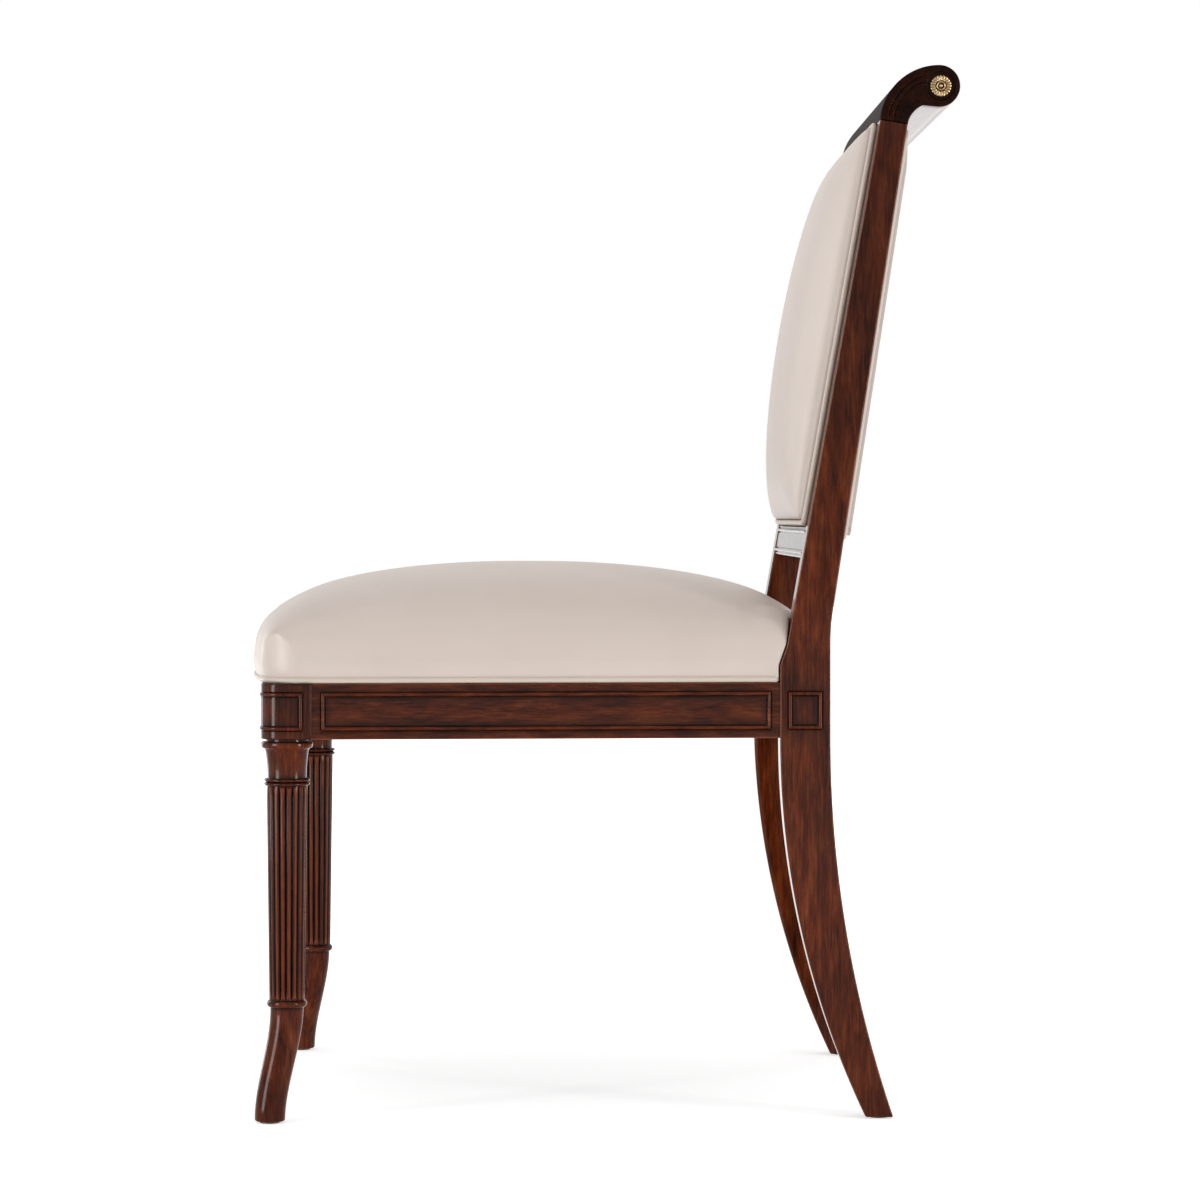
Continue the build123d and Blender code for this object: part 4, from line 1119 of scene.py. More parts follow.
def rear_post(s):
    """A left post: a rounded rectangle carried from foot to crest.

    Each section reaches from the front edge's Y to the rear edge's Y and tips towards the rake at the top.
    A small bead square stands on the outer face beside the side rail. The upright is darker towards its top
    and the foot towards the floor.
    """
    edge = s.edge_radius
    thickness = POST_HIGH.x - POST_LOW.x
    half_depth = s.seat_depth / 2
    corners = [(-half_depth, 0.0), (half_depth, 0.0), (half_depth, thickness), (-half_depth, thickness)]
    loop = rounded_loop(corners, [edge] * 4, EDGE_STEPS)
    offsets = bead_offsets(s)
    half_bead = s.post_bead_size / 2
    outer_middle = (loop["middles"][2] + loop["middles"][3]) / 2
    run = loop_lines(loop, edge / 4, SECTION_STEP, both_sides(outer_middle, half_bead), offsets)
    place, way = on_loop(loop, run)
    middle_z, half_height = panel_levels(s)
    _, top_z = raked_place(s, 0.0, s.back_height)
    z = lines_between(POST_LOW.z, top_z, SECTION_STEP, both_sides(middle_z, half_height), offsets)
    bends = [s.ledge_bottom, s.ledge_top, RAIL_LOW.z]
    z = np.unique(np.concatenate([z, POST_LOW.z + edge_depths(edge), bends]))
    tip = smooth_step((z - s.back_z) / (top_z - s.back_z)) * s.depth_top / 2 * sin(s.rake)
    front = post_front_y(s, z + tip)
    rear = post_rear_y(s, z - tip)
    core = half_depth - edge
    inner = np.clip(place[:, 0], -core, core)
    reach = (rear - front) / 2
    y = inner[None] * ((reach - edge) / core)[:, None] + (place[:, 0] - inner)[None]
    x = np.broadcast_to(POST_LOW.x + place[:, 1], y.shape)
    m = frame_distance(place[None, :, 0], z[:, None], (0.0, middle_z), half_bead, half_height)
    height, shade = bead_relief(s, m)
    outer = way[:, 1] > FACE_TURN
    draw = drawn_in(edge, z - POST_LOW.z)
    x = x + np.where(outer, height, 0.0) - way[None, :, 1] * draw[:, None]
    y = y - way[None, :, 0] * draw[:, None]
    tilt = -tip / reach
    points = np.stack([x, ((front + rear) / 2)[:, None] + y, z[:, None] + tilt[:, None] * y], -1)
    # Darker towards the top and towards the floor; where stronger, the bead's painted shade and highlight; a
    # painted highlight on the rounded edges
    upright_dim = UPRIGHT_DARKENING * smooth_step((z - UPRIGHT_DIMS_FROM) / UPRIGHT_FADE)
    foot_dim = FOOT_DARKENING * smooth_step((FOOT_DIMS_BELOW - z) / FOOT_FADE)
    dimmed = np.maximum(upright_dim, foot_dim)[:, None]
    painted_shade = np.where(outer & (np.abs(shade) > dimmed), shade, dimmed)
    return grid(points, np.where(at_edges(way), s.edge_highlight, painted_shade), caps=True)


class CHAIR_OT_rear_posts(bpy.types.Operator):
    """Make both rear posts, each one curved board from floor to crest"""

    bl_idname = "chair.rear_posts"
    bl_label = "Rear posts"

    def execute(self, context):
        grids = [rear_post(context.scene.chair_frame)]
        add_pair("sabre_post", grids, wood_for(2), ("rear_post", "post_bead"))
        return {"FINISHED"}


# Rails
def carried_section(s, loop, run, outer, inner, thickness, relief):
    """A rail: a rounded section carried between two paths.

    Outer and inner are the paths of its two faces in plan. A section point that lies a share of the thickness
    in from the outer face goes that share of the way from the outer to the inner path. The relief moves
    points of the outer face outwards.
    """
    place, way = on_loop(loop, run)
    share = -place[:, 0] / thickness
    plan = outer[:, None] + (inner - outer)[:, None] * share[None, :, None]
    outward = unit(outer - inner)
    height, shade = relief(place[:, 1])
    faced = way[:, 0] > FACE_TURN
    plan = plan + outward[:, None] * np.where(faced, height, 0.0)[..., None]
    # Painted shade and highlight of the relief on the outer face, and a painted highlight on the rounded
    # edges
    painted_shade = np.where(faced, shade, 0.0)
    return grid(lifted(plan, place[:, 1]), np.where(at_edges(way), s.edge_highlight, painted_shade), caps=True)


def plain_face(z):
    """No relief and no shade on a rail's face."""
    return np.zeros((1, len(z))), np.zeros((1, len(z)))


def rail_loop(s, thickness, low, high, bead_levels=()):
    """A rail's section, a rounded rectangle with its outer face at nought, and runs close at its beads."""
    corners = [(-thickness, low), (0.0, low), (0.0, high), (-thickness, high)]
    loop = rounded_loop(corners, [s.edge_radius] * 4, EDGE_STEPS)
    start = loop["middles"][1] - low
    beads = [start + level for level in bead_levels]
    return loop, loop_lines(loop, s.edge_radius / 4, SECTION_STEP, beads, bead_offsets(s))


def panelled_rail(s, outer, inner, along):
    """A seat rail with a bead panel on its outer face, along a path that has lines at the panel's ends."""
    middle_z, half_height = panel_levels(s)
    half_length = (along[-1] - along[0]) / 2 - s.bead_margin
    middle = (along[-1] + along[0]) / 2
    bead_levels = both_sides(middle_z, half_height)
    loop, run = rail_loop(s, s.rail_thickness, RAIL_LOW.z, RAIL_HIGH.z, bead_levels)

    def relief(z):
        m = frame_distance(along[:, None], z[None, :], (middle, middle_z), half_length, half_height)
        return bead_relief(s, m)

    return carried_section(s, loop, run, outer, inner, s.rail_thickness, relief)


def side_rail_x(s, y):
    """The X of the side rail's outer face: straight from the leg block to the post, set back from both."""
    front = LEG_LOW.x + bpy.context.scene.chair_legs.block_size - s.rail_setback
    rear = POST_HIGH.x - s.rail_setback
    return front + (rear - front) * (y - LEG_HIGH.y) / (POST_LOW.y - LEG_HIGH.y)


def side_rail(s):
    """The left side rail, straight in plan, with its ends square to the leg and the post."""
    start, end = LEG_HIGH.y, POST_LOW.y
    y = lines_between(start, end, RAIL_STEP, [start + s.bead_margin, end - s.bead_margin], bead_offsets(s))
    x = side_rail_x(s, y)
    depth = s.rail_thickness * sqrt(1.0 + ((x[-1] - x[0]) / (end - start)) ** 2)
    outer = np.stack([x, y], -1)
    inner = np.stack([x - depth, y], -1)
    return panelled_rail(s, outer, inner, y)


def front_rail(s):
    """The front rail, whose face bows forward as an arc and whose back is straight."""
    half = LEG_LOW.x
    x = lines_between(-half, half, BOW_STEP, [s.bead_margin - half, half - s.bead_margin], bead_offsets(s))
    radius = (half ** 2 + s.front_bow ** 2) / (2 * s.front_bow)
    bow = np.sqrt(radius ** 2 - x ** 2) - (radius - s.front_bow)
    face = FRONT_RAIL_HIGH.y - s.rail_thickness
    outer = np.stack([x, face - bow], -1)
    inner = straight_path(x, FRONT_RAIL_HIGH.y)
    return panelled_rail(s, outer, inner, x)


def rear_rail(s):
    """The plain rear rail between the posts."""
    x = spread(REAR_RAIL_LOW.x, REAR_RAIL_HIGH.x, RAIL_STEP)
    loop, run = rail_loop(s, s.rail_thickness, RAIL_LOW.z, RAIL_HIGH.z)
    outer = straight_path(x, REAR_RAIL_HIGH.y)
    inner = straight_path(x, REAR_RAIL_LOW.y)
    return carried_section(s, loop, run, outer, inner, s.rail_thickness, plain_face)


def lower_back_rail(s):
    """The rail under the back cushion, with a bead along each edge of its front, leaned back by the rake."""
    low, high = -s.lower_height, 0.0
    beads = np.array([low + s.lower_bead_inset, high - s.lower_bead_inset])
    thickness = s.lower_thickness + s.lower_forward
    loop, run = rail_loop(s, thickness, low, high, beads)
    x = spread(-POST_LOW.x, POST_LOW.x, RAIL_STEP)
    outer = straight_path(x, s.lower_thickness / 2 - thickness)
    inner = straight_path(x, s.lower_thickness / 2)

    def relief(z):
        return bead_relief(s, np.abs(z[None, :, None] - beads).min(-1))

    rail = carried_section(s, loop, run, outer, inner, thickness, relief)
    x, y, z = np.moveaxis(rail["points"], -1, 0)
    y, z = raked_place(s, y, z)
    return dict(rail, points=np.stack([x, y, z], -1))


class CHAIR_OT_seat_rails(bpy.types.Operator):
    """Make the side, front and rear seat rails with their bead panels"""

    bl_idname = "chair.seat_rails"
    bl_label = "Seat rails"

    def execute(self, context):
        sizes = context.scene.chair_frame
        nodes = ("side_seat_rail", "side_rail_bead")
        add_pair("panelled_side_rail", [side_rail(sizes)], wood_for(1), nodes)
        nodes = ("front_seat_rail", "front_rail_bead")
        add_piece("bowed_front_rail", [front_rail(sizes)], wood_for(0), nodes)
        add_piece("plain_rear_rail", [rear_rail(sizes)], wood_for(0), ("rear_seat_rail",))
        return {"FINISHED"}


class CHAIR_OT_lower_back_rail(bpy.types.Operator):
    """Make the beaded rail below the back cushion"""

    bl_idname = "chair.lower_back_rail"
    bl_label = "Lower back rail"

    def execute(self, context):
        grids = [lower_back_rail(context.scene.chair_frame)]
        add_piece("beaded_lower_rail", grids, wood_for(0), ("lower_back_rail",))
        return {"FINISHED"}


# Crest rail
def crest_places(s):
    """Fixed places of the crest's section in chair Y and Z."""
    middle = raked_place(s, 0.0, s.back_height)
    scroll = (middle[0] + s.scroll_back, middle[1] + s.scroll_rise)
    front = raked_place(s, -s.depth_top / 2, s.back_height)
    drop = scroll[1] + s.scroll_radius - front[1]
    run = scroll[0] - front[0]
    sweep = (run * run + drop * drop) / (2 * drop)
    return {
        "front": front,
        "rear": raked_place(s, s.depth_top / 2, s.back_height),
        "scroll": scroll,
        "rosette": (scroll[0] + s.rosette_back, scroll[1]),
        "hollow": (middle[0] + s.hollow_back, middle[1] + s.hollow_rise),
        "sweep": sweep,
        "sweep_centre": (scroll[0], scroll[1] + s.scroll_radius - sweep),
    }


def arc(centre, radius, start, end, count):
    """Points on a circle between two angles."""
    angle = np.linspace(start, end, count)
    return np.stack([centre[0] + radius * np.cos(angle), centre[1] + radius * np.sin(angle)], -1)


def even_along(points, count):
    """A polyline read again at even steps of its length."""
    run = np.concatenate([[0.0], np.cumsum(np.linalg.norm(np.diff(points, axis=0), axis=1))])
    at = np.linspace(0.0, run[-1], count)
    return np.stack([np.interp(at, run, points[:, axis]) for axis in (0, 1)], -1)


def crest_edges(s, count):
    """The crest's section as two lines that meet at the rear of the scroll.

    The front line is the long sweep, an arc that ends level at the crown, and then a quarter of the scroll's
    circle. The rear line is the hollow, an arc tangent to the post's rear edge, the flat under the scroll and
    another quarter.
    """
    p = crest_places(s)
    start = atan2(p["front"][1] - p["sweep_centre"][1], p["front"][0] - p["sweep_centre"][0])
    sweep = arc(p["sweep_centre"], p["sweep"], start, pi / 2, SWEEP_POINTS)
    crown = arc(p["scroll"], s.scroll_radius, pi / 2, 0.0, QUARTER_POINTS)
    front = np.concatenate([sweep, crown[1:]])
    low = np.array(raked_place(s, s.depth_low / 2, 0.0))
    rear, hollow = np.array(p["rear"]), np.array(p["hollow"])
    way = unit(rear - low)
    chord = hollow - rear
    normal = np.array([way[1], -way[0]])
    radius = (chord @ chord) / (2 * (chord @ normal))
    centre = rear + normal * radius
    begin = atan2(rear[1] - centre[1], rear[0] - centre[0])
    finish = atan2(hollow[1] - centre[1], hollow[0] - centre[0])
    curve = arc(centre, abs(radius), begin, finish, QUARTER_POINTS)
    under = arc(p["scroll"], s.scroll_radius, -pi / 2, 0.0, QUARTER_POINTS)
    return even_along(front, count), even_along(np.concatenate([curve, under]), count)


def end_relief(s, place):
    """Depth and shade on a crest end.

    A round recess lies at the rosette's centre, with a short slope at its rim, which gets a ring of painted
    shade. Two carved lines are shallow grooves at fixed distances inside the sweep, from the post joint up to
    the recess. Each gets painted shade in its middle and a painted highlight along its outer edge.
    """
    p = crest_places(s)
    from_scroll = far_from(place, p["rosette"])
    depth = s.recess_depth * smooth_step((s.recess_radius - from_scroll) / RIM_SLOPE)
    # A ring of painted shade just inside the recess's rim
    shade = RIM_PAINTED_SHADE * np.exp(-((from_scroll - s.recess_radius + RIM_SHADE_INSET) / RIM_SLOPE) ** 2)
    from_sweep = far_from(place, p["sweep_centre"])
    joint = unit(np.array(p["rear"]) - np.array(p["front"]))
    above = (place - np.array(p["front"])) @ np.array([-joint[1], joint[0]])
    open_part = smooth_step((above - s.line_edge) / LINE_FOOT_FADE)
    open_part = open_part * smooth_step((from_scroll - s.recess_radius - LINE_GAP) / LINE_HEAD_FADE)
    open_part = open_part * (place[..., 0] < p["scroll"][0])
    for step in range(2):
        radius = p["sweep"] - s.line_first - step * s.line_step
        line = hump((from_sweep - radius) / (s.line_width / 2)) * open_part
        depth = depth + s.line_depth * line
        edge = np.exp(-((from_sweep - radius - s.line_width / 2) / LINE_HIGHLIGHT_WIDTH) ** 2) * open_part
        # Painted shade in the line's middle and a painted highlight along its outer edge
        shade = shade + LINE_PAINTED_SHADE * line - LINE_HIGHLIGHT * edge
    return depth, np.clip(shade, -1.0, 1.0)


def crest_grids(s):
    """The crest rail: its section carried across the chair, and an end sheet on each side.

    The ends of the carried part draw in by a quarter round. An end sheet is ruled between the section's two
    lines, and the recess and carved lines sink into it.
    """
    front, rear = crest_edges(s, CREST_ROWS)
    outline = np.concatenate([front, rear[-2:0:-1], rear[:1]])
    ahead = np.roll(outline, -1, 0) - np.roll(outline, 1, 0)
    normal = unit(np.stack([ahead[:, 1], -ahead[:, 0]], -1))
    after = np.roll(outline, -1, 0)
    area = np.sum(outline[:, 0] * after[:, 1] - outline[:, 1] * after[:, 0])
    normal = normal * np.sign(area)
    half = POST_HIGH.x
    rounded = half - s.crest_edge * (1.0 - np.sin(np.linspace(0.0, pi / 2, EDGE_LINES)))
    even = spread(-half + s.crest_edge, half - s.crest_edge, CREST_STEP)[1:-1]
    x = np.concatenate([rounded, even])
    x = np.unique(np.concatenate([x, -x]))
    from_end = np.clip(half - np.abs(x), 0.0, s.crest_edge)
    section = outline[None] - normal[None] * drawn_in(s.crest_edge, from_end)[:, None, None]
    # Darker along the rounded edges at the crest's ends
    edge_darkening = CREST_EDGE_DARKENING * (from_end < s.crest_edge)[:, None]
    body = grid(at_side(x[:, None], section), edge_darkening)
    drawn = outline - normal * s.crest_edge
    count = len(front)
    drawn_front = drawn[:count]
    drawn_rear = np.concatenate([drawn[-1:], drawn[count:-1][::-1], drawn_front[-1:]])
    share = np.linspace(0.0, 1.0, CREST_COLUMNS)[None, :, None]
    sheet = drawn_front[:, None] * (1.0 - share) + drawn_rear[:, None] * share
    depth, shade = end_relief(s, sheet)
    ends = [grid(at_side(sign * (half - depth), sheet), shade, closed=False) for sign in SIDES.values()]
    return [body, *ends]


class CHAIR_OT_crest_rail(bpy.types.Operator):
    """Make the crest rail, rolled over into a scroll, with its carved ends"""

    bl_idname = "chair.crest_rail"
    bl_label = "Crest rail"

    def execute(self, context):
        grids = crest_grids(context.scene.chair_frame)
        crest = add_piece("scrolled_crest", grids, wood_for(0, dark=True), ("crest_rail",))
        # The hollow and the rear keep the clear polish. The front, crown and ends take the darker copy
        # without specular: partly the crest's own darker tone, partly painted shade standing in for the dark
        # it mirrors.
        mesh = crest.data
        mesh.materials.append(wood_for(0))
        normals = np.empty(len(mesh.polygons) * 3, np.float32)
        mesh.polygons.foreach_get("normal", normals)
        across, back, up = normals.reshape(-1, 3).T
        behind = (back - up > HOLLOW_TURN) & (np.abs(across) < END_TURN)
        mesh.polygons.foreach_set("material_index", behind.astype(np.int32))
        return {"FINISHED"}


def rosette_grid(s):
    """A left rosette: rings of a round relief in the crest's end, closed by a flat back.

    A petal's height is a half ellipse along the radius times a half ellipse across it, and its rim is
    scalloped alike. The boss is a round ring and the nub a half ball.
    """
    radius = np.concatenate([
        [0.0],
        np.linspace(NUB_START, s.nub_radius, NUB_RINGS),
        np.linspace(s.nub_radius + BOSS_START, s.boss_radius, BOSS_RINGS),
        np.linspace(s.boss_radius + PETAL_START, s.rosette_radius, PETAL_RINGS),
        [s.rosette_radius],
    ])
    angle = around(s.petals * PETAL_COLUMNS)
    across = 2.0 * np.abs(np.mod(angle * s.petals / (2 * pi), 1.0) - 0.5)
    ridge = np.sqrt(1.0 - (PETAL_ROUND * (1.0 - across)) ** 2)
    r = radius[:, None]
    petal_middle = (s.boss_radius + s.rosette_radius) / 2
    petal_half = s.rosette_radius - petal_middle
    floor = ROSETTE_FLOOR * s.rosette_thickness
    swell = (s.rosette_thickness - floor) * half_round((r - petal_middle) / petal_half)
    petal = floor + swell * (PETAL_VALLEY + (1.0 - PETAL_VALLEY) * ridge[None])
    ring_middle = (s.nub_radius + s.boss_radius) / 2 + RING_SHIFT
    ring_half = s.boss_radius - ring_middle
    ring = floor + (s.boss_height - floor) * half_round((r - ring_middle) / ring_half)
    nub = floor + (s.nub_height - floor) * half_round(r / s.nub_radius)
    height = np.where(r <= s.nub_radius, nub, np.where(r <= s.boss_radius, ring, petal))
    height[-1] = 0.0
    rim = 1.0 - PETAL_SCALLOP * (1.0 - ridge) * smooth_step((r - petal_middle) / petal_half)
    tarnish = 1.0 - (height - TARNISH_FROM * floor) / (TARNISH_FADE * s.rosette_thickness)
    place = crest_places(s)["rosette"]
    out = r * rim
    section = np.stack([place[0] + out * np.cos(angle), place[1] + out * np.sin(angle)], -1)
    points = at_side(POST_HIGH.x - s.recess_depth + height, section)
    back = np.repeat(points[-1:].mean(1, keepdims=True), points.shape[1], 1)
    shade = np.clip(tarnish, 0.0, 1.0)
    return grid(np.concatenate([points, back]), np.concatenate([shade, shade[-1:]]))


class CHAIR_OT_rosettes(bpy.types.Operator):
    """Make the brass rosettes on the crest's ends"""

    bl_idname = "chair.rosettes"
    bl_label = "Rosettes"

    def execute(self, context):
        grids = [rosette_grid(context.scene.chair_frame)]
        brass = finish_named("aged_brass", aged_brass, context.scene.chair_finishes)
        add_pair("petalled_rosette", grids, brass, ("rosette",), ROUND_EDGE)
        return {"FINISHED"}


# Upholstery
def rise(insets, reach, softness):
    """The share of its crown to which a pad rises at given distances from its edges.

    With t a distance's share of the reach, one edge alone gives (1 - (1 - t)^p)^(1/q), with p and q from the
    softness. Several are joined without a ridge: the inverse squares are added, less one for each after the
    first.
    """
    p, q = softness
    total = 1.0 - len(insets)
    for inset in insets:
        t = np.clip(inset / reach, 1e-6, 1.0)
        total = total + (1.0 - (1.0 - t) ** p) ** (-2.0 / q)
    return total ** -0.5


def seat_loop(s, frame_sizes):
    """The seat's plan: front corners rounded, straight sides, and rear corners notched round the posts.

    The front then bows forward as a parabola, which fades out behind the front corners.
    """
    corner_y = SEAT_LOW.y + s.seat_front_bow
    notch_x = POST_LOW.x - s.notch_gap
    notch_y = POST_LOW.y - s.notch_gap
    front_x = side_rail_x(frame_sizes, corner_y) + s.seat_side_out
    side_x = side_rail_x(frame_sizes, notch_y) + s.seat_side_out
    right = [(front_x, corner_y), (side_x, notch_y), (notch_x, notch_y), (notch_x, SEAT_HIGH.y)]
    radii = [s.seat_corner_radius, NOTCH_CORNER, NOTCH_CORNER, REAR_CORNER]
    corners = [(-x, y) for x, y in right[::-1]] + right
    loop = rounded_loop(corners, radii[::-1] + radii, CORNER_STEPS)
    pleated = np.linspace(-PLEATED_REACH, PLEATED_REACH, PLEATED_LINES)
    run = loop_lines(loop, LOOP_GAP, SECTION_STEP, loop["middles"][3:5], pleated)
    place, way = on_loop(loop, run)
    toward_front = smooth_step((corner_y + BOW_FADE - place[:, 1]) / BOW_FADE)
    bow = s.seat_front_bow * (1.0 - np.clip(place[:, 0] / front_x, -1.0, 1.0) ** 2) * toward_front
    return place - np.stack([0.0 * bow, bow], -1), way


def from_post(place):
    """How far places of the seat's plan lie from the nearer post's front inner corner."""
    inward = np.clip(POST_LOW.x - np.abs(place[..., 0]), 0.0, None)
    return np.hypot(inward, np.clip(POST_LOW.y - place[..., 1], 0.0, None))


def clear_of_posts(s, place):
    """Nought beside a post, one from the notch roll's width away."""
    return smooth_step((from_post(place) - s.notch_gap) / s.notch_roll)


def seat_height(s, frame_sizes, place):
    """The seat's height over its plan: a crown above its wall, rolled down by a quarter round at a post."""
    x, y = np.abs(place[..., 0]), place[..., 1]
    side = side_rail_x(frame_sizes, y) + s.seat_side_out - x
    front_x = side_rail_x(frame_sizes, SEAT_LOW.y)
    front = y - SEAT_LOW.y - s.seat_front_bow * (x / front_x) ** 2
    crown = s.seat_wall_top + s.seat_crown * rise((side, front, SEAT_HIGH.y - y), s.seat_reach, SEAT_SOFTNESS)
    near = np.clip(1.0 - (from_post(place) - s.notch_gap) / s.notch_roll, 0.0, 1.0)
    return crown - s.notch_drop * (1.0 - np.sqrt(1.0 - near ** 2))


def seat_grid(s, frame_sizes):
    """The seat as one closed form: a base, walls drawn in at the welt, and rows that close on the middle.

    A pleat at each front corner is a narrow bell-shaped groove that curves forward as it rises. Beside a post
    the leather follows the step in the post's front edge.
    """
    place, way = seat_loop(s, frame_sizes)
    base = RAIL_HIGH.z + s.seat_welt * SEAT_BASE_SHARE
    edge_z = seat_height(s, frame_sizes, place)
    up_wall = np.linspace(0.0, 1.0, WALL_ROWS)[:-1, None]
    draw = (s.seat_pull * clear_of_posts(s, place))[None] * (1.0 - up_wall) ** 2
    wall = place[None] - way[None] * draw[..., None]
    wall_z = base + (edge_z - base)[None] * up_wall
    inward = np.linspace(0.0, 1.0, SEAT_ROWS) ** SEAT_CLOSING
    middle = np.array([0.0, (SEAT_LOW.y + SEAT_HIGH.y) / 2])
    top = place[None] + (middle - place)[None] * inward[:, None, None]
    plan = np.concatenate([wall, top])
    z = np.concatenate([wall_z, seat_height(s, frame_sizes, top)])
    up = (z - base) / s.pleat_height
    pleat_y = SEAT_LOW.y + s.pleat_place - s.pleat_lean * (1.0 - (1.0 - up / PLEAT_CREST) ** 2)
    off = (plan[..., 1] - pleat_y) / s.pleat_width
    fade = smooth_step((s.pleat_height + base - z) / PLEAT_FADE)
    pleat = np.exp(-off ** 2) * (fade * (np.abs(plan[..., 0]) > PLEATS_FROM * POST_LOW.x))
    plan = plan - way[None] * (s.pleat_depth * pleat)[..., None]
    before_post = smooth_step((POST_LOW.y + STEP_FADE - plan[..., 1]) / STEP_FADE)
    near = smooth_step(1.0 - from_post(plan) / STEP_REACH) * before_post
    plan[..., 1] += near * (post_front_y(frame_sizes, z) - POST_LOW.y)
    # Painted shade along the seam at the welt and in the pleats
    seam = SEAT_SEAM_SHADE * np.exp(-(z - base) / SEAM_WIDTH)
    shade = np.clip(seam + PLEAT_SHADE * pleat, 0.0, 1.0)
    floor = lifted(np.broadcast_to(middle, place.shape), base)
    return grid(np.concatenate([floor[None], lifted(plan, z)]), np.concatenate([shade[:1], shade]))


def evaluated_mesh(obj):
    """An object's mesh with its modifiers applied, as a new mesh."""
    seen = obj.evaluated_get(bpy.context.evaluated_depsgraph_get())
    return bpy.data.meshes.new_from_object(seen)


def vertex_places(mesh):
    """A mesh's vertex places as an array."""
    places = np.empty(len(mesh.vertices) * 3, np.float32)
    mesh.vertices.foreach_get("co", places)
    return places.reshape(-1, 3).astype(float)


def even_skin(s, form):
    """An object with an even voxel mesh of a form, smoothed a little, ready to be simulated."""
    skin = bpy.data.objects.new("skin", grids_mesh("skin", [form]))
    bpy.context.scene.collection.objects.link(skin)
    voxels = skin.modifiers.new("voxels", "REMESH")
    voxels.mode = "VOXEL"
    voxels.voxel_size = s.voxel
    even = skin.modifiers.new("even", "SMOOTH")
    even.factor = 0.5
    even.iterations = 5
    mesh = evaluated_mesh(skin)
    skin.modifiers.clear()
    skin.data = mesh
    return skin


def blown_up(s, skin, start, tacked):
    """The skin's places after it has swelled as cloth under pressure, held where it is tacked."""
    scene = bpy.context.scene
    skin.data.vertices.foreach_set("co", start.astype(np.float32).ravel())
    skin.vertex_groups.new(name="tacked").add(np.flatnonzero(tacked).tolist(), 1.0, "REPLACE")
    cloth = skin.modifiers.new("cloth", "CLOTH")
    cloth.settings.quality = 5
    cloth.settings.mass = 0.3
    cloth.settings.use_pressure = True
    cloth.settings.uniform_pressure_force = s.pressure
    cloth.settings.effector_weights.gravity = 0.0
    cloth.settings.vertex_group_mass = "tacked"
    cloth.point_cache.frame_start = 1
    cloth.point_cache.frame_end = s.swell_frames
    for step in range(1, s.swell_frames + 1):
        scene.frame_set(step)
    moved = vertex_places(evaluated_mesh(skin))
    scene.frame_set(1)
    return moved


def stuffed(s, form, height):
    """A padded form after its leather has been cut slack and stuffed.

    Height gives how far a place lies above the line where the leather is tacked. An even skin of the form is
    drawn in along its normals by the give, which fades to nought at that line, and swells again as cloth.
    What the swollen skin then differs by moves the form's own points, each by the mean of the nearest skin
    points.
    """
    skin = even_skin(s, form)
    rest = vertex_places(skin.data)
    normals = np.empty(rest.size, np.float32)
    skin.data.vertex_normals.foreach_get("vector", normals)
    free = smooth_step(height(rest) / s.tack_length)
    start = rest - normals.reshape(-1, 3) * (s.give * free)[:, None]
    shift = blown_up(s, skin, start, free < TACKED_BELOW) - rest
    far = np.maximum(np.linalg.norm(shift, axis=1, keepdims=True), 1e-9)
    shift = shift * (s.give * np.tanh(far / s.give) / far)
    bpy.data.objects.remove(skin)
    tree = KDTree(len(rest))
    for index, place in enumerate(rest):
        tree.insert(place, index)
    tree.balance()
    points = form["points"].reshape(-1, 3)
    near = [[found[1] for found in tree.find_n(place, SKIN_NEIGHBOURS)] for place in points]
    moved = points + shift[np.array(near)].mean(1) * smooth_step(height(points) / s.tack_length)[:, None]
    return dict(form, points=moved.reshape(form["points"].shape))


def cord_grid(path, radius):
    """A round cord along a closed level path: circles in the plane of up and of the side across the path."""
    up = np.array([0.0, 0.0, 1.0])
    side = np.cross(unit(np.roll(path, -1, 0) - np.roll(path, 1, 0)), up)
    angle = around(CORD_SIDES)[:, None, None]
    ring = path[None] + radius * (np.cos(angle) * side[None] + np.sin(angle) * up)
    return grid(np.concatenate([ring, ring[:1]]))


class CHAIR_OT_seat_cushion(bpy.types.Operator):
    """Make the leather seat, swollen by simulation, and its welt"""

    bl_idname = "chair.seat_cushion"
    bl_label = "Seat cushion"

    def execute(self, context):
        s = context.scene.chair_upholstery
        frame_sizes = context.scene.chair_frame
        held_z = RAIL_HIGH.z + s.seat_welt

        def height(places):
            return np.minimum(places[:, 2] - held_z, from_post(places) - s.notch_gap)

        form = stuffed(s, seat_grid(s, frame_sizes), height)
        nodes = ("seat_cover", "seat_foam")
        seat = add_piece("leather_seat", [form], seat_leather(), nodes, SOFT_EDGE)
        place, way = seat_loop(s, frame_sizes)
        radius = s.seat_welt / 2
        inner = place - way * (radius + WELT_INSET * clear_of_posts(s, place))[:, None]
        cord = cord_grid(lifted(inner, RAIL_HIGH.z + radius), radius)
        add_piece("leather_seat_welt", [cord], welt_leather(), ("seat_welt",))
        return {"FINISHED"}


def face_lean(s, facing):
    """The lean of the posts' front faces, facing -1, or rear faces, facing 1: the rake and their taper."""
    return s.rake - facing * atan2((s.depth_low - s.depth_top) / 2, s.back_height)


def face_place(s, local, facing):
    """Chair places of points given across, up and out from the posts' front or rear faces."""
    lean = face_lean(s, facing)
    y0, z0 = raked_place(s, facing * s.depth_low / 2, 0.0)
    across, up, out = np.moveaxis(local, -1, 0)
    out = facing * out
    return np.stack([
        -facing * across,
        y0 + out * cos(lean) + up * sin(lean),
        z0 - out * sin(lean) + up * cos(lean),
    ], -1)


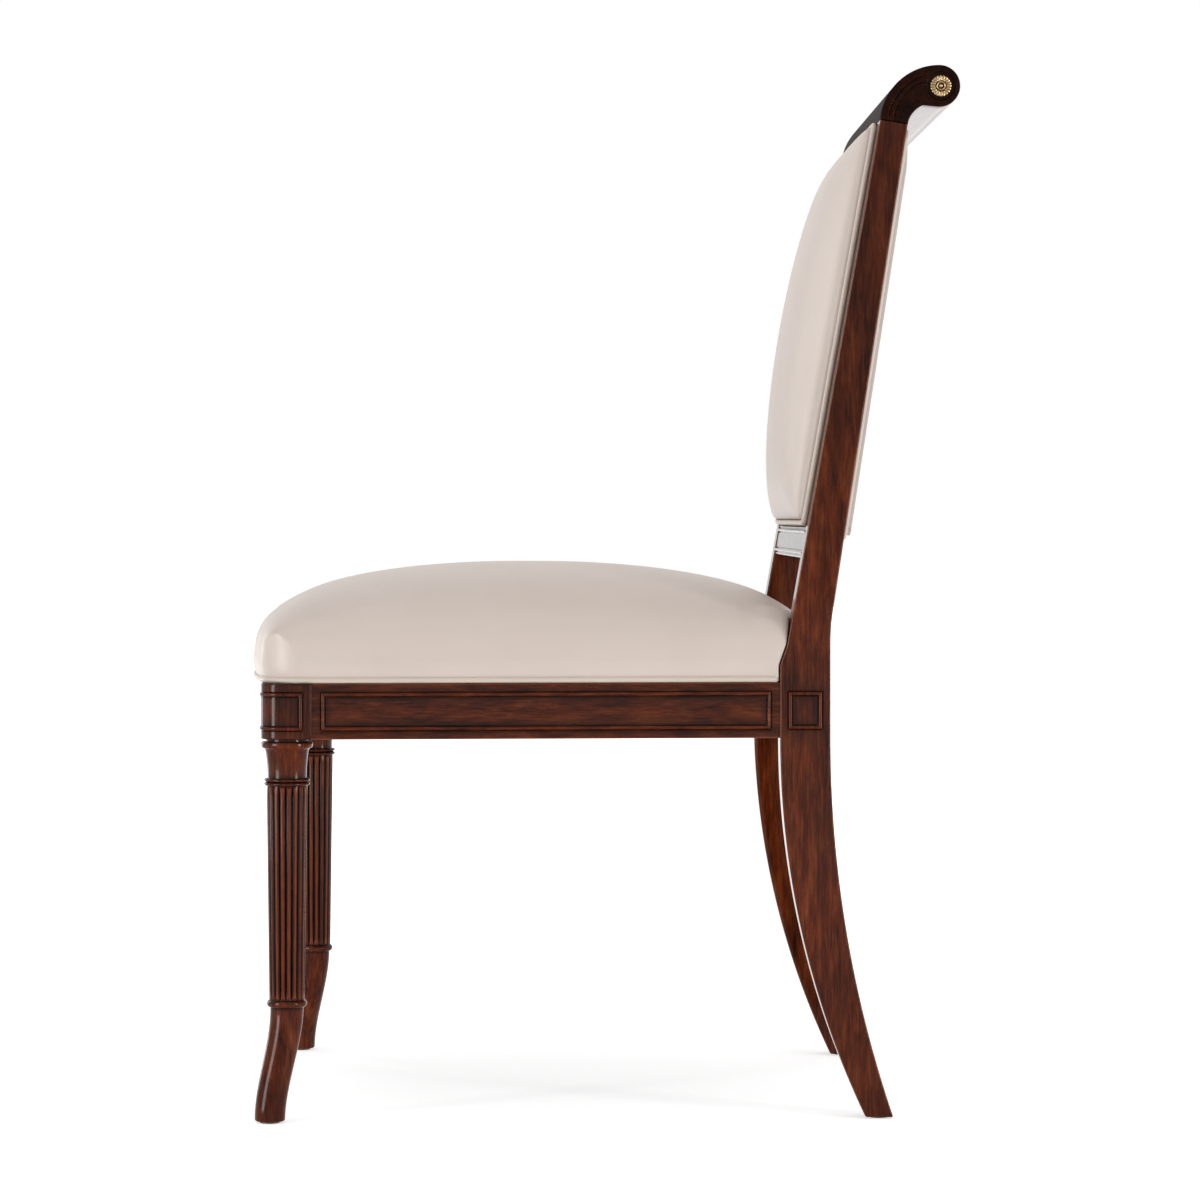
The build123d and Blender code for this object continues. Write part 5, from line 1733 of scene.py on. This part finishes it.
def back_loop(half, low, high, radius):
    """Points of a rounded rectangle across the back."""
    corners = [(-half, low), (half, low), (half, high), (-half, high)]
    loop = rounded_loop(corners, [radius] * 4, BACK_CORNER_STEPS)
    place, _ = on_loop(loop, loop_lines(loop, LOOP_GAP, SECTION_STEP))
    return place


def pillow_grid(s, sizes, low, high, base, wall, crown):
    """A crowned pad over a rounded rectangle between the posts, as one closed form, with painted shade along
    its seam.
    """
    half = POST_LOW.x - s.back_gap
    reach = s.back_share * min(half, sizes.back_height / 2)
    place = back_loop(half, low, high, s.back_corner_radius)
    middle = np.array([0.0, (low + high) / 2])
    inward = np.linspace(0.0, 1.0, BACK_ROWS) ** BACK_CLOSING
    plan = place[None] + (middle - place)[None] * inward[:, None, None]
    side = half - np.abs(plan[..., 0])
    end = np.minimum(plan[..., 1] - low, high - plan[..., 1])
    top = lifted(plan, wall + crown * rise((side, end), reach, BACK_SOFTNESS))
    foot = lifted(place, base)
    centre = lifted(np.broadcast_to(middle, place.shape), base)
    # Painted shade along the seam round the pad's edge
    seam = BACK_SEAM_SHADE * np.exp(-np.minimum(side, end) / SEAM_WIDTH)
    shade = np.concatenate([np.full((2, len(place)), BACK_SEAM_SHADE), seam])
    return grid(np.concatenate([centre[None], foot[None], top]), shade)


def back_welt_grid(s, sizes, low, high, facing):
    """A welt round the back, between the cushion's edge and the posts."""
    radius = s.back_welt / 2
    half = POST_LOW.x - LEATHER_GAP - radius
    place = back_loop(half, low + radius, high - radius, s.back_corner_radius)
    cord = cord_grid(lifted(place, s.back_welt_proud), radius)
    return dict(cord, points=face_place(sizes, cord["points"], facing))


class CHAIR_OT_back_cushion(bpy.types.Operator):
    """Make the inside back, swollen by simulation, and its welt"""

    bl_idname = "chair.back_cushion"
    bl_label = "Inside back"

    def execute(self, context):
        s = context.scene.chair_upholstery
        sizes = context.scene.chair_frame
        high = sizes.back_height + s.back_top
        form = pillow_grid(s, sizes, s.back_low, high, LEATHER_GAP, s.back_wall, s.back_crown)
        form["points"] = face_place(sizes, form["points"], FRONT)
        y0, z0 = raked_place(sizes, -sizes.depth_low / 2, 0.0)
        lean = face_lean(sizes, FRONT)

        def height(places):
            return (places[:, 2] - z0) * sin(lean) - (places[:, 1] - y0) * cos(lean) - s.back_wall

        form = stuffed(s, form, height)
        nodes = ("back_cover", "back_foam")
        back = add_piece("leather_back", [form], seat_leather(), nodes, SOFT_EDGE)
        cord = back_welt_grid(s, sizes, LEATHER_GAP, high + s.back_welt, FRONT)
        add_piece("leather_back_welt", [cord], welt_leather(), ("back_welt",))
        return {"FINISHED"}


class CHAIR_OT_outside_back(bpy.types.Operator):
    """Make the outside back and its welt"""

    bl_idname = "chair.outside_back"
    bl_label = "Outside back"

    def execute(self, context):
        s = context.scene.chair_upholstery
        sizes = context.scene.chair_frame
        low = s.back_welt - s.outside_drop
        high = sizes.back_height - s.back_welt
        form = pillow_grid(s, sizes, low, high, OUTSIDE_BASE, s.outside_proud, s.outside_crown)
        near_top = np.clip(1.0 - (high - form["points"][..., 1]) / s.outside_roll, 0.0, 1.0)
        form["points"][..., 2] *= np.sqrt(1.0 - OUTSIDE_ROLL_SHARE * near_top ** 2)
        form["points"] = face_place(sizes, form["points"], REAR)
        nodes = ("outside_back_cover", "outside_back_padding")
        outside = add_piece(
            "leather_outside_back", [form], seat_leather(), nodes, ROUND_EDGE
        )
        cord = back_welt_grid(s, sizes, -s.outside_drop, sizes.back_height, REAR)
        add_piece("leather_outside_welt", [cord], welt_leather(), ("outside_back_welt",))
        return {"FINISHED"}


# Pieces that stay as they are in the frame
class CHAIR_OT_inner_parts(bpy.types.Operator):
    """Give the inner frames, webbing, screws and glides their finishes"""

    bl_idname = "chair.inner_parts"
    bl_label = "Inner parts"

    def execute(self, context):
        colours = context.scene.chair_finishes
        wood = plain_wood("plain_wood", colours.plain_wood)
        named = {
            "webbing": woven("jute_webbing", colours.webbing, fineness=900.0, roughness=0.9),
            "dust_cover": woven("black_dust_cloth", colours.dust_cloth, fineness=1500.0, roughness=0.95),
            "screws": speckled("zinc_steel", colours.steel, roughness=0.34, metallic=1.0),
            "glides": speckled("dark_plastic", colours.glide, roughness=0.45, metallic=0.0),
        }
        for name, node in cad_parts.items():
            if node.hide_render:
                continue
            found = [finish for word, finish in named.items() if word in name]
            node.data.materials.clear()
            node.data.materials.append(found[0] if found else wood)
        return {"FINISHED"}


# Stage
def add_softbox(name, place, size, power, mirrored_only):
    """A softbox of a width and height that faces the chair, or one that shows only as a gleam in polish."""
    light = bpy.data.lights.new(name, "AREA")
    light.energy = power
    light.shape = "RECTANGLE"
    light.size, light.size_y = size
    box = bpy.data.objects.new(name, light)
    box.location = place
    box.rotation_euler = (Vector(LIT_MIDDLE) - Vector(place)).to_track_quat("-Z", "Y").to_euler()
    box.visible_diffuse = not mirrored_only
    bpy.context.scene.collection.objects.link(box)


def seen_or_mirrored(tree):
    """One where the camera sees a surface, or sees it mirrored or through glass."""
    path = add_node(tree, "ShaderNodeLightPath")
    shown = path.outputs["Is Camera Ray"]
    for kind in ("Is Glossy Ray", "Is Transmission Ray"):
        shown = add_node(tree, "ShaderNodeMath", shown, path.outputs[kind], operation="MAXIMUM").outputs[0]
    return shown


def floor_material(stage):
    """A pale floor that keeps shadows: a matt white surface with a light of its own that grows far away."""
    material, tree, shader = new_material("pale_floor")
    place = add_node(tree, "ShaderNodeTexCoord").outputs["Object"]
    away = add_node(tree, "ShaderNodeVectorMath", place, operation="LENGTH").outputs["Value"]
    far = remap(tree, away, FLOOR_GLOW_REACH, (0.0, stage.far_glow))
    mottle = noise(tree, 3.0, detail=2.0, roughness=0.5)
    shown = seen_or_mirrored(tree)
    glow = add_node(tree, "ShaderNodeMath", far, shown, stage.floor_glow, operation="MULTIPLY_ADD")
    feed(tree, shader, {
        "Base Color": two_tone(tree, mottle, (stage.floor_grey,) * 3, share=0.985, ends=(0.3, 0.7)),
        "Roughness": 0.9,
        "Specular IOR Level": 0.1,
        "Emission Color": WHITE,
        "Emission Strength": glow.outputs[0],
    })
    return material


def studio_world(stage):
    """A white studio: soft light all round, more from above, and white where it is seen or mirrored."""
    world = bpy.data.worlds.new("studio")
    world.use_nodes = True
    tree = world.node_tree
    tree.nodes.clear()
    place = add_node(tree, "ShaderNodeTexCoord").outputs["Generated"]
    up = add_node(tree, "ShaderNodeSeparateXYZ", place).outputs["Z"]
    levels = (stage.room_light, stage.room_light + stage.sky_light)
    lit = add_node(tree, "ShaderNodeBackground", Color=WHITE, Strength=remap(tree, up, (0.0, 1.0), levels))
    white = add_node(tree, "ShaderNodeBackground", Color=WHITE, Strength=1.0)
    shown = seen_or_mirrored(tree)
    seen = add_node(tree, "ShaderNodeMixShader", shown, lit.outputs[0], white.outputs[0])
    add_node(tree, "ShaderNodeOutputWorld", Surface=seen.outputs[0])
    bpy.context.scene.world = world


class CHAIR_OT_stage(bpy.types.Operator):
    """Set the floor, the studio light and the camera"""

    bl_idname = "chair.stage"
    bl_label = "Stage"

    def execute(self, context):
        scene = context.scene
        stage = scene.chair_stage
        lines = np.linspace(-FLOOR_REACH, FLOOR_REACH, FLOOR_LINES)
        plan = np.stack(np.meshgrid(lines, lines, indexing="ij"), -1)
        mesh = grids_mesh("floor", [grid(lifted(plan, 0.0), closed=False)])
        if mesh.polygons[0].normal.z < 0:
            mesh.flip_normals()
        mesh.materials.append(floor_material(stage))
        floor = bpy.data.objects.new("floor", mesh)
        scene.collection.objects.link(floor)
        for name, power, place, size, mirrored_only in SOFTBOXES:
            add_softbox(name, place, size, getattr(stage, power), mirrored_only)
        studio_world(stage)
        camera = bpy.data.objects.new("camera", bpy.data.cameras.new("camera"))
        camera.location = (stage.camera_distance, stage.camera_y, stage.camera_z)
        camera.rotation_euler = (pi / 2, 0.0, pi / 2)
        camera.data.lens = stage.lens
        camera.data.sensor_width = 36.0
        camera.data.shift_x = stage.shift_x
        camera.data.shift_y = stage.shift_y
        scene.collection.objects.link(camera)
        scene.camera = camera
        scene.view_settings.view_transform = "Standard"
        return {"FINISHED"}


class CHAIR_PT_panel(bpy.types.Panel):
    """Lists the chair's pieces in the sidebar"""

    bl_label = "Side chair"
    bl_idname = "CHAIR_PT_panel"
    bl_space_type = "VIEW_3D"
    bl_region_type = "UI"
    bl_category = "Chair"

    def draw(self, context):
        for step in OPERATORS:
            self.layout.operator(step.bl_idname)


GROUPS = {
    "chair_legs": ChairLegSizes,
    "chair_frame": ChairFrameSizes,
    "chair_upholstery": ChairUpholsterySizes,
    "chair_finishes": ChairFinishes,
    "chair_stage": ChairStage,
}
OPERATORS = (
    CHAIR_OT_front_legs,
    CHAIR_OT_rear_posts,
    CHAIR_OT_seat_rails,
    CHAIR_OT_lower_back_rail,
    CHAIR_OT_crest_rail,
    CHAIR_OT_rosettes,
    CHAIR_OT_seat_cushion,
    CHAIR_OT_back_cushion,
    CHAIR_OT_outside_back,
    CHAIR_OT_inner_parts,
    CHAIR_OT_stage,
)


def register():
    """Register the chair's settings, operators and panel."""
    for name, group in GROUPS.items():
        bpy.utils.register_class(group)
        setattr(bpy.types.Scene, name, PointerProperty(type=group))
    for step in (*OPERATORS, CHAIR_PT_panel):
        bpy.utils.register_class(step)


def unregister():
    """Undo the registration."""
    for step in (CHAIR_PT_panel, *OPERATORS):
        bpy.utils.unregister_class(step)
    for name, group in GROUPS.items():
        delattr(bpy.types.Scene, name)
        bpy.utils.unregister_class(group)


def main():
    """Make every piece in order."""
    register()
    for step in OPERATORS:
        group, name = step.bl_idname.split(".")
        getattr(getattr(bpy.ops, group), name)()


if __name__ == "__main__":
    main()
